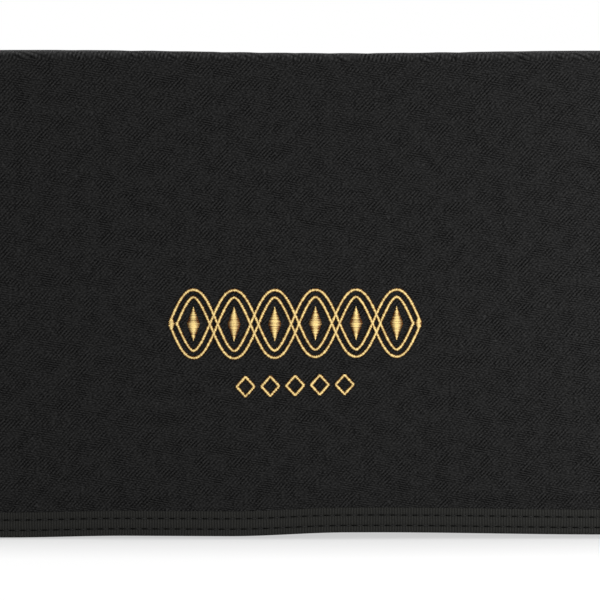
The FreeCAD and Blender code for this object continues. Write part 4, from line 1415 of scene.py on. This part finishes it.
x, z = plate(POCKET_HALF, pocket_low[2], pocket_high[2], POCKET_CORNER, 91, 36)
pocket = slab("pocket_cloth", pocket_face(x, z, 0), pocket_face(x, z, -1.1), np.stack([-x, z], -1), TWILL, "twill")
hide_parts("front_pocket")
case_pieces.append(pocket)
places, _ = round_path(POCKET_HALF - 2.6, pocket_low[2] + 2.6, pocket_high[2] - 2, 8.0, 0.0)
sew("pocket_stitch", pocket_face, places[:, 0], places[:, 1], "twill", lift=0.05, pitch=3.6)


def edge_tape(name, top_line, face_way, half):
    """A tape folded over a straight upper edge: top_line holds the edge's middle points, face_way points out
    of the face."""
    into, off = tape_section(TAPE_WIDTH, half, TAPE)
    down = np.array([0, 0, -1.0])
    rings = top_line[:, None] + down * into[None, :, None] + face_way * off[None, :, None]
    flat = spread(run_length(top_line)[:, None], (into * np.sign(off))[None])
    return swept(name, rings, flat, GROSGRAIN, "grosgrain")


edge_x = np.linspace(-POCKET_HALF + 0.5, POCKET_HALF - 0.5, 160)
edge_line = pocket_face(edge_x, np.full_like(edge_x, pocket_high[2]), -0.55)
pocket_tape = edge_tape("pocket_tape", edge_line, np.array([0, -1.0, 0]), 0.6)
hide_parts("front_pocket_binding")
case_pieces.append(pocket_tape)
for drop, row in ((UPPER_ROW, "lower"), (LOWER_ROW, "upper")):
    sew(f"pocket_tape_stitch_{row}", pocket_face, edge_x, pocket_high[2] - drop, "grosgrain", lift=0.36)

# %% Patches of hook and loop


def patch(name, surface, x0, x1, low, high, thick, slot="hook_and_loop"):
    """A rectangle of pile tape on a surface, with a raised middle and a sewn edge. Gives the patch and its
    stitches."""
    a, b = np.meshgrid(np.linspace(x0, x1, 41), np.linspace(low, high, 21))
    edge = np.minimum(np.minimum(a - x0, x1 - a), np.minimum(b - low, high - b))
    rise = 0.45 * thick + 0.55 * thick * ease((edge - 1.4) / 1.6) + 0.12 * np.sin(a * 2.9) * np.sin(b * 3.3)
    body = slab(name, surface(a, b, rise), surface(a, b, 0.02), np.stack([a, b], -1), PILE, slot)
    path = oblong(x0 + 1.2, x1 - 1.2, low + 1.2, high - 1.2, 0.8)
    return body, stitches(f"{name}_stitch", surface, *path, slot, lift=0.55 * thick, pitch=2.8, radius=0.2)


loops_low, loops_high = span("pocket_loop_patches")
hooks_low, hooks_high = span("flap_hook_patches")
PATCH_LONG = 50.0


def flap_inside(x, z, off):
    """The flap's lining face, addressed by height on the front."""
    across, along = face_place(x, z)
    return flap(across, along, -(padding(across, along, -1) + off))


flap_pieces = []
for sign, side in ((-1, "left"), (1, "right")):
    ends = sorted((sign * loops_high[0], sign * (loops_high[0] - PATCH_LONG)))
    parts = patch(f"loop_patch_{side}", pocket_face, *ends, loops_low[2], loops_high[2], 1.5)
    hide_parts("pocket_loop_patches")
    case_pieces += parts
    parts = patch(f"hook_patch_{side}", flap_inside, *ends, hooks_low[2], hooks_high[2], 1.3)
    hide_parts("flap_hook_patches")
    flap_pieces += parts

# %% Pen loops
loops_box = span("pen_loops")
LOOP_PITCH, LOOP_WIDE, LOOPS = 22.0, 15.0, 3
first_loop = loops_box[0][0] + LOOP_WIDE / 2
stand_off = -PANEL_FACE - loops_box[0][1] - 1.2
turn = np.linspace(0, np.pi, 25)
path = [np.array([[first_loop - 14, 0.7]])]
for number in range(LOOPS):
    middle = first_loop + number * LOOP_PITCH
    arch_x = middle - (LOOP_WIDE / 2 - 0.6) * np.cos(turn)
    path.append(np.stack([arch_x, 0.7 + (stand_off - 0.7) * np.sin(turn) ** 0.85], -1))
path.append(np.array([[first_loop + (LOOPS - 1) * LOOP_PITCH + 14, 0.7]]))
path = np.concatenate(path)
out = across_of(unit(np.gradient(path, axis=0)))
height = np.linspace(loops_box[0][2], loops_box[1][2], 14)
layers = []
for off in (0.5, -0.5):
    at = path + off * out
    grid = spread(at[:, None, 0], -PANEL_FACE - at[:, None, 1], height[None])
    layers.append(relax(grid))
flat = spread(run_length(path)[:, None], height[None])
pen_loops = slab("pen_elastic", layers[0], layers[1], flat, ELASTIC, "elastic")
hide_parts("pen_loops")
case_pieces.append(pen_loops)
for number in range(LOOPS + 1):
    x = first_loop + (number - 0.5) * LOOP_PITCH
    x += 3.5 if number == 0 else (-3.5 if number == LOOPS else 0)
    rows = line((x, height[0] + 1), (x, height[-1] - 1), step=0.8)
    sew(f"pen_stitch_{number}", front_face, *rows, "elastic", lift=1.25, pitch=2.6, radius=0.22)
print("front details:", len(case_pieces), "case pieces so far")

# %% [markdown]
# ## Divider
# The divider is a padded board of foam in lining cloth. Its faces swell a little between its edges, and a
# tape closes its top.

# %% Divider
divider_low, divider_high = span("divider_pad")
DIVIDER_HALF = divider_high[0]
divider_y = (divider_low[1] + divider_high[1]) / 2
divider_half = (divider_high[1] - divider_low[1]) / 2
QUILT_Z = 96.0
divider_fill = filling("divider", 2 * DIVIDER_HALF, divider_high[2] - TAPE_WIDTH - divider_low[2])


def divider_face(side):
    """One face of the divider as a surface of x, z and distance off it."""

    def surface(x, z, off):
        edge = np.maximum(plate_inset(x, z, DIVIDER_HALF, divider_low[2], CASE_CORNER - 2), 0)
        crown = 1.0 + (divider_half - 1.0) * (1 - np.exp(-edge / 6)) + 0.7 * divider_fill(x, z - divider_low[2])
        crown = crown - 0.35 * np.exp(-(((z - QUILT_Z) / 4) ** 2)) * ease(edge / 20)
        bow = 1.2 * np.sin(np.pi * x / (2 * DIVIDER_HALF)) * ease((z - 20) / 150)
        return relax(spread(x, divider_y + bow + side * (crown + off), z))

    return surface


x, z = plate(DIVIDER_HALF, divider_low[2], divider_high[2], CASE_CORNER - 2, 81, 46)
divider = slab(
    "divider_cloth", divider_face(-1)(x, z, 0), divider_face(1)(x, z, 0), np.stack([x, z], -1), LINING, "lining_cloth"
)
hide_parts("divider_pad")
edge_x = np.linspace(-DIVIDER_HALF + 0.3, DIVIDER_HALF - 0.3, 150)
top_row = np.full_like(edge_x, divider_high[2])
edge_line = (divider_face(-1)(edge_x, top_row, 0) + divider_face(1)(edge_x, top_row, 0)) / 2
divider_tape = edge_tape("divider_tape", edge_line, np.array([0, -1.0, 0]), divider_half + 0.35)
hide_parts("divider_binding")
case_pieces += [divider, divider_tape]
strips_low, strips_high = span("divider_loop_strips")
PILE_THICK = 1.5
for sign, side in ((1, "right"), (-1, "left")):
    depth, level = np.meshgrid(
        np.linspace(strips_low[1], strips_high[1], 15), np.linspace(strips_low[2], strips_high[2], 60)
    )
    edge = np.minimum(
        np.minimum(depth - strips_low[1], strips_high[1] - depth),
        np.minimum(level - strips_low[2], strips_high[2] - level),
    )
    pile = PILE_THICK * (0.35 + 0.65 * ease(edge / 1.8)) + 0.06 * np.sin(depth * 2.7) * np.sin(level * 2.9)
    wall = strips_high[0]
    faces = [relax(spread(sign * (wall - off), depth, level)) for off in (pile, 0 * pile)]
    strip_piece = slab(f"divider_strip_{side}", *faces, np.stack([depth, level], -1), PILE, "hook_and_loop")
    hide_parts("divider_loop_strips")
    case_pieces.append(strip_piece)
for side, name in ((-1, "front"), (1, "back")):
    sew(f"divider_stitch_{name}", divider_face(side), edge_x, divider_high[2] - UPPER_ROW, "grosgrain", lift=0.45)
    sew(f"divider_quilt_{name}", divider_face(side), edge_x[6:-6], QUILT_Z, "lining_cloth", lift=0.05)

# %% [markdown]
# ## Back: zip, trolley band, handle and root strip
# The coil of a nylon zip is two spirals that hook into each other. Each turn shows as a short hump across
# the middle, so the coil is two rows of arched threads, half a step apart.

# %% Zip
tape_low, tape_high = span("zipper_tape")
x, z = np.meshgrid(np.linspace(tape_low[0], tape_high[0], 90), np.linspace(tape_low[2], tape_high[2], 27))
ridge = 0.25 * np.exp(-(((np.abs(z - ZIP_Z) - 3.6) / 0.5) ** 2))


def flat_y(y):
    """Grid points at one depth."""
    return spread(x, y, z)


zip_cloth = slab(
    "zip_tape_cloth", flat_y(tape_high[1] + ridge), flat_y(tape_low[1]), np.stack([x, z], -1), ZIP_CLOTH, "zip_tape"
)
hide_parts("zipper_tape")
bag_low, bag_high = span("rear_pocket_bag")
x, z = plate(bag_high[0], bag_low[2], bag_high[2], 6.0, 61, 26)
slack = 0.35 * np.sin(x / 9 + z / 17)
pocket_layers = [relax(np.stack([x, np.full_like(x, y) + slack, z], -1)) for y in (bag_high[1] - 0.35, bag_low[1])]
rear_pocket = slab("rear_pocket_lining", *pocket_layers, np.stack([x, z], -1), LINING, "lining_cloth")
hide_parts("rear_pocket_bag")
case_pieces.append(rear_pocket)
COIL_STEP = 1.5
teeth = np.arange(zip_low[0] + 1, zip_high[0] - 1, COIL_STEP)
starts, ends = [], []
for sign, shift in ((1, 0.0), (-1, COIL_STEP / 2)):
    base = np.stack([teeth + shift, np.full_like(teeth, zip_low[1] + 0.45), np.full_like(teeth, ZIP_Z)], -1)
    starts.append(base + [0, 0, sign * 2.7])
    ends.append(base + [0.35, 0, -sign * 0.7])
starts, ends = np.concatenate(starts), np.concatenate(ends)
facing = np.tile([[0.0, 1.0, 0.0]], (len(starts), 1))
coil = threads("zip_teeth", starts, ends, facing, 0.42, 1.35, NYLON, "zip_coil", rings=9, sides=6, blunt=0.9)
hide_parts("zipper_coil")
case_pieces += [zip_cloth, coil]
for side in (-1, 1):
    level = ZIP_Z + side * (WINDOW + 2.6)
    row = "lower" if side < 0 else "upper"
    seam_x = np.linspace(-ZIP_SEAM, ZIP_SEAM, 300)
    sew(f"zip_stitch_{row}", back_face, seam_x, level, "twill", lift=0.05, pitch=3.2)
    ends_line = line((side * ZIP_SEAM, ZIP_Z - WINDOW - 2.6), (side * ZIP_SEAM, ZIP_Z + WINDOW + 2.6), step=0.6)
    sew(f"zip_bar_{'left' if side < 0 else 'right'}", back_face, *ends_line, "twill", lift=0.05, pitch=2.4)

# %% [markdown]
# ## Slider and pull
# A zip slider is cast metal: a domed plate with a rail down each side, and a small bridge on top that holds
# the pull. The pull is a flat tag that widens towards a round hole and is pressed thinner in its middle, so
# its border stands up and catches light.

# %% Slider and pull
pivot = np.array(hinges["pull_swing"]["pos_m"]) / MM
slider_low, slider_high = span("zipper_slider")
pull_high = span("zipper_pull")[1]
BRIDGE_RADIUS, PIN_RADIUS, HOLE_RADIUS = 1.7, 0.95, 1.5
skin = pivot[1] - BRIDGE_RADIUS
u, v = np.meshgrid(
    np.linspace(-1, 1, 41),
    np.array([-1, -0.97, -0.9, -0.8, -0.78, *np.linspace(-0.7, 0.7, 15), 0.78, 0.8, 0.9, 0.97, 1]),
)
round_end = 1 - 0.4 * np.clip((np.abs(u) - 0.6) / 0.4, 0, 1) ** 2
half_width = (slider_high[2] - slider_low[2]) / 2 * (1 - 0.16 * ease((u + 0.3) / 1.3)) * round_end
plate_x = (slider_low[0] + slider_high[0]) / 2 + (slider_high[0] - slider_low[0]) / 2 * u
plate_z = pivot[2] + half_width * v
domed = skin - 0.35 * np.abs(v) ** 3 - 0.55 * np.clip((np.abs(v) - 0.88) / 0.12, 0, 1) ** 2 - 0.35 * np.abs(u) ** 6
under = np.where(np.abs(v) > 0.79, slider_low[1] + 0.2, skin - 1.25)
slider_body = slab(
    "zip_slider_body", spread(plate_x, domed, plate_z), spread(plate_x, under, plate_z), spread(plate_x, plate_z),
    DARK_METAL, "zip_metal",
)
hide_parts("zipper_slider")


def flat_bar(name, x, y, normal_x, normal_y, half_thick, middle_z, half_wide):
    """A flat bar carried along a path in x and y: its section is a rounded oblong, wide along z."""
    turn = np.linspace(0, 2 * np.pi, 16, endpoint=False)
    thick = half_thick * signed_power(np.sin(turn), 0.5)
    wide = half_wide * signed_power(np.cos(turn), 0.5)
    rings = spread(x[:, None] + normal_x[:, None] * thick, y[:, None] + normal_y[:, None] * thick, middle_z + wide)
    return swept(name, rings, rings[..., [0, 2]], DARK_METAL, "zip_metal")


arc = np.linspace(np.pi, 0, 17)
bridge_x = pivot[0] + BRIDGE_RADIUS * np.concatenate([[-1], np.cos(arc), [1]])
bridge_y = np.concatenate([[skin - 0.5], pivot[1] + BRIDGE_RADIUS * np.sin(arc), [skin - 0.5]])
out_x, out_y = np.concatenate([[-1], np.cos(arc), [1]]), np.concatenate([[0], np.sin(arc), [0]])
slider_bridge = flat_bar("zip_slider_bridge", bridge_x, bridge_y, out_x, out_y, 0.5, pivot[2], 2.0)
hole_x = pull_high[0] - 4
around = np.linspace(0, 2 * np.pi, 72, endpoint=False)
reach = np.where(np.cos(around) > 0, 4.0, hole_x - pivot[0] - 4.4)
outline_x = reach * signed_power(np.cos(around), np.where(np.cos(around) > 0, 1.0, 0.55))
outline_z = 3.5 * signed_power(np.sin(around), np.where(np.cos(around) > 0, 1.0, 0.45))
outline_z = outline_z * (1 - 0.18 * np.clip(-outline_x / 17, 0, 1))
outline = np.stack([outline_x, outline_z], -1)
hole = HOLE_RADIUS * unit(outline)
share = np.array([0.0, 0.06, 0.14, 0.24, 0.34, 0.62, 0.72, 0.8, 0.93, 1.0])
half_tag = np.array([0.5, 0.78, 0.78, 0.5, 0.42, 0.42, 0.5, 0.78, 0.78, 0.5])
flat_tag = hole[:, None] + share[None, :, None] * (outline - hole)[:, None]
upper, lower = (
    spread(hole_x + flat_tag[..., 0], pivot[1] + side * half_tag, pivot[2] + flat_tag[..., 1]) for side in (1, -1)
)
tag_rings = np.concatenate([upper, lower[:, ::-1]], 1)
pull_tag = swept("zip_pull_tag", tag_rings, tag_rings[..., [0, 2]], DARK_METAL, "zip_metal", closed=True)
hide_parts("zipper_pull")
pull_parts = [pull_tag]
arm_x = np.linspace(pivot[0] - 1, pivot[0] + 6.5, 12)
arm_thick = PIN_RADIUS * np.sqrt(np.clip(1 - (np.clip(-0.3 - (arm_x - pivot[0]), 0, 1) / 0.75) ** 2, 0.1, 1))
for side, name in ((-1, "lower"), (1, "upper")):
    arm = flat_bar(
        f"zip_pull_arm_{name}", arm_x, pivot[1] + 0 * arm_x, 0 * arm_x, 0 * arm_x + 1, arm_thick[:, None],
        pivot[2] + side * 2.9, 0.6,
    )
    pull_parts.append(arm)
pin_z = np.linspace(-3.1, 3.1, 7)
turn = np.linspace(0, 2 * np.pi, 16, endpoint=False)
pin = spread(
    pivot[0] + PIN_RADIUS * np.cos(turn)[None], pivot[1] + PIN_RADIUS * np.sin(turn)[None], pivot[2] + pin_z[:, None]
)
pull_parts.append(swept("zip_pull_pin", pin, pin[..., [0, 2]], DARK_METAL, "zip_metal"))
for piece in (slider_body, slider_bridge):
    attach(piece, "zip_slider")
for piece in pull_parts:
    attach(piece, "zip_pull")
print("slider and pull:", 2 + len(pull_parts), "pieces")

# %% Straps on the back


def strap(name, half, wide, lift_of, thick_of, middle_z, material, slot, crease=0.0):
    """A strap along x: its middle stands lift off the panel, and it is thick and wide as given along x."""
    x = np.linspace(-half, half, int(half * 1.2))
    v = np.concatenate([[-1, -0.985], np.linspace(-0.94, 0.94, 17), [0.985, 1]])
    rounded = np.where(np.abs(v) > 0.99, 0.35, np.where(np.abs(v) > 0.96, 0.8, 1.0))
    z = middle_z + wide(x)[:, None] * v[None]
    thick = thick_of(x)[:, None] * rounded[None] / 2
    centre = lift_of(x)[:, None] + crease * (1 - v[None] ** 2)

    def at(off):
        grid = spread(x[:, None], PANEL_FACE + centre + off, z)
        return relax(grid)

    flat = spread(x[:, None], z - middle_z)
    return slab(name, at(thick), at(-thick), flat, material, slot)


def box_stitch(name, surface, x0, x1, low, high, slot, lift):
    """A sewn rectangle with a cross in it."""
    rows = [
        oblong(x0, x1, low, high, 0.7),
        line((x0, low), (x1, high), step=0.7),
        line((x0, high), (x1, low), step=0.7),
    ]
    parts = [
        stitches(f"{name}_{number}", surface, *row, slot, lift=lift, pitch=2.8, radius=0.24)
        for number, row in enumerate(rows)
    ]
    return joined(name, *parts)


BAND_SEWN, HANDLE_SEWN = 12, 20
band_low, band_high = span("trolley_band")
band_half, band_wide = band_high[0], (band_high[2] - band_low[2]) / 2
band_z = (band_high[2] + band_low[2]) / 2
handle_low, handle_high = span("grab_handle")
handle_half, handle_wide = handle_high[0], (handle_high[2] - handle_low[2]) / 2
handle_z = (handle_high[2] + handle_low[2]) / 2


def band_lift(x):
    """The band's stand-off: flat at its sewn ends, then a low bow."""
    return 0.85 + 5.4 * ease((band_half - BAND_SEWN - np.abs(x)) / BAND_SEWN)


def handle_lift(x):
    """The handle's stand-off: flat under its box stitches, then a bow deep enough for a hand."""
    return 1.1 + 14.2 * ease((handle_half - HANDLE_SEWN - np.abs(x)) / 24)


band = strap("trolley_band_cloth", band_half, lambda x: band_wide + 0 * x, band_lift, lambda x: 1.2 + 0 * x, band_z,
             TWILL, "webbing", crease=0.3)
handle = strap(
    "handle_webbing", handle_half, lambda x: handle_wide - 4.5 * ease((36 - np.abs(x)) / 14), handle_lift,
    lambda x: 1.7 + 2.6 * ease((34 - np.abs(x)) / 12), handle_z, WEBBING, "webbing",
)
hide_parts("trolley_band")
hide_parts("grab_handle")
case_pieces += [band, handle]


def strap_face(lift_of, thick):
    """A strap's outer face as a surface of x, z and distance off it."""

    def surface(x, z, off):
        y = PANEL_FACE + lift_of(x) + thick / 2 + off
        return relax(spread(x, y, z))

    return surface


band_face = strap_face(band_lift, 1.9)
handle_face = strap_face(handle_lift, 1.7)
for sign, side in ((-1, "left"), (1, "right")):
    ends = sorted((sign * (handle_half - 2.5), sign * (handle_half - 18)))
    case_pieces.append(
        box_stitch(f"handle_box_{side}", handle_face, *ends, handle_low[2] + 3, handle_high[2] - 3, "webbing", 0.1)
    )
    for step, row in ((2.5, "outer"), (7.5, "inner")):
        end_x = sign * (band_half - step)
        rows = line((end_x, band_low[2] + 2), (end_x, band_high[2] - 2), step=0.8)
        sew(f"band_end_{side}_{row}", band_face, *rows, "webbing", lift=0.05, pitch=3.2)
for level, row in ((band_low[2] + 5, "lower"), (band_high[2] - 5, "upper")):
    hem_x = np.linspace(-band_half + 3, band_half - 3, 300)
    sew(f"band_hem_{row}", band_face, hem_x, level, "webbing", lift=-0.05, pitch=3.6)

# %% Root strip over the flap's raw edge
strip_half = strip_high[0]
STRIP_TOP = 193.0
STRIP_THICK = 1.3
strip_z = (strip_low[2] + STRIP_TOP) / 2


def strip_lift(x):
    """The strip lies on the flap's root, which lies on the panel."""
    return back_y + ROOT_HALF - PANEL_FACE + STRIP_THICK / 2 + 0.1 + 0 * x


strip = strap(
    "root_strip_webbing", strip_half, lambda x: (STRIP_TOP - strip_low[2]) / 2 + 0 * x, strip_lift,
    lambda x: STRIP_THICK + 0 * x, strip_z, WEBBING, "webbing",
)
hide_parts("flap_anchor_strip")
case_pieces.append(strip)
for level, row in ((strip_low[2] + 3, "lower"), (STRIP_TOP - 3, "upper")):
    seam_x = np.linspace(-strip_half + 2, strip_half - 2, 400)
    strip_face = strap_face(strip_lift, STRIP_THICK)
    sew(f"root_strip_stitch_{row}", strip_face, seam_x, level, "webbing", lift=0.08, pitch=3.6)
print("back details:", len(case_pieces), "case pieces so far")

# %% [markdown]
# ## Rings and their tabs
# Each tab is one piece of webbing that goes up the gusset, over the ring's bar and down again, sewn through
# with a box and a cross.

# %% Ring tabs
tab_low, tab_high = span("ring_tab_right")
bar = np.array(hinges["ring_swing_right"]["pos_m"]) / MM
WRAP = 2.75
TAB_HALF = 0.55
turn = np.radians(np.linspace(180, -62, 40))
wall_x = HALF_X + 0.65
front_x = HALF_X + 1.85
path = np.concatenate(
    [
        np.stack([np.full(20, wall_x), np.linspace(tab_low[2], bar[2] - 8, 20)], -1),
        np.stack([bar[0] + WRAP * np.cos(turn), bar[2] + WRAP * np.sin(turn)], -1),
        np.stack([np.full(20, front_x), np.linspace(bar[2] - 7.5, tab_low[2] + 1.5, 20)], -1),
    ]
)
smooth = path.copy()
for _ in range(3):
    smooth[1:-1] = (smooth[:-2] + 2 * smooth[1:-1] + smooth[2:]) / 4
wrap_zone = np.hypot(path[:, 0] - bar[0], path[:, 1] - bar[2]) < WRAP + 0.05
path = np.where(wrap_zone[:, None], path, smooth)
out = across_of(unit(np.gradient(path, axis=0)))
y = np.linspace(tab_low[1], tab_high[1], 17)
tab_run = run_length(path)
for sign, side in ((1, "right"), (-1, "left")):
    layers = []
    for off in (TAB_HALF, -TAB_HALF):
        at = path + off * out
        layers.append(spread(sign * at[:, None, 0], y[None], at[:, None, 1]))
    flat = spread(tab_run[:, None], y[None])
    tab = slab(f"tab_webbing_{side}", layers[0], layers[1], flat, WEBBING, "webbing")
    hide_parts(f"ring_tab_{side}")

    def tab_face(a, b, off, sign=sign):
        """The tab's outer face: a runs along y, b is the height."""
        return spread(sign * (front_x + TAB_HALF + off), a, b)

    case_pieces += [
        tab,
        box_stitch(f"tab_box_{side}", tab_face, tab_low[1] + 3, tab_high[1] - 3, tab_low[2] + 4, bar[2] - 20,
                   "webbing", 0.1),
    ]

# %% Hard parts keep their shape and take a finish
for node, material in {
    "d_ring_left": BRIGHT_METAL, "d_ring_right": BRIGHT_METAL, "zipper_stops": DARK_METAL, "base_board": BOARD
}.items():
    item = frame["nodes"][node]
    item.data.materials.clear()
    item.data.materials.append(material)
for piece in case_pieces:
    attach(piece, "bag")
for piece in flap_pieces:
    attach(piece, "flap_drop")
print("case pieces:", len(case_pieces))

# %% Closing the flap's pieces
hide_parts("flap_front_shell", "flap_front_foam")
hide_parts("flap_front_lining")
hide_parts("flap_front_binding")
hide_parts("flap_top_shell", "flap_top_foam")
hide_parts("flap_top_lining")
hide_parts("flap_top_binding")
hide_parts("emblem_embroidery")
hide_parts("row_embroidery")
for piece in flap_parts["front"][2]:
    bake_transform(piece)
for piece in flap_parts["back"][2]:
    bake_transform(piece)
for piece in (emblem, lower_row):
    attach(piece, "flap_drop")

# %% Floor
floor_mesh = bpy.data.meshes.new("floor")
floor_mesh.from_pydata([(-6, -6, 0), (6, -6, 0), (6, 6, 0), (-6, 6, 0)], [], [(0, 1, 2, 3)])
floor_mesh.materials.append(FLOOR)
floor = add_object("floor", floor_mesh)
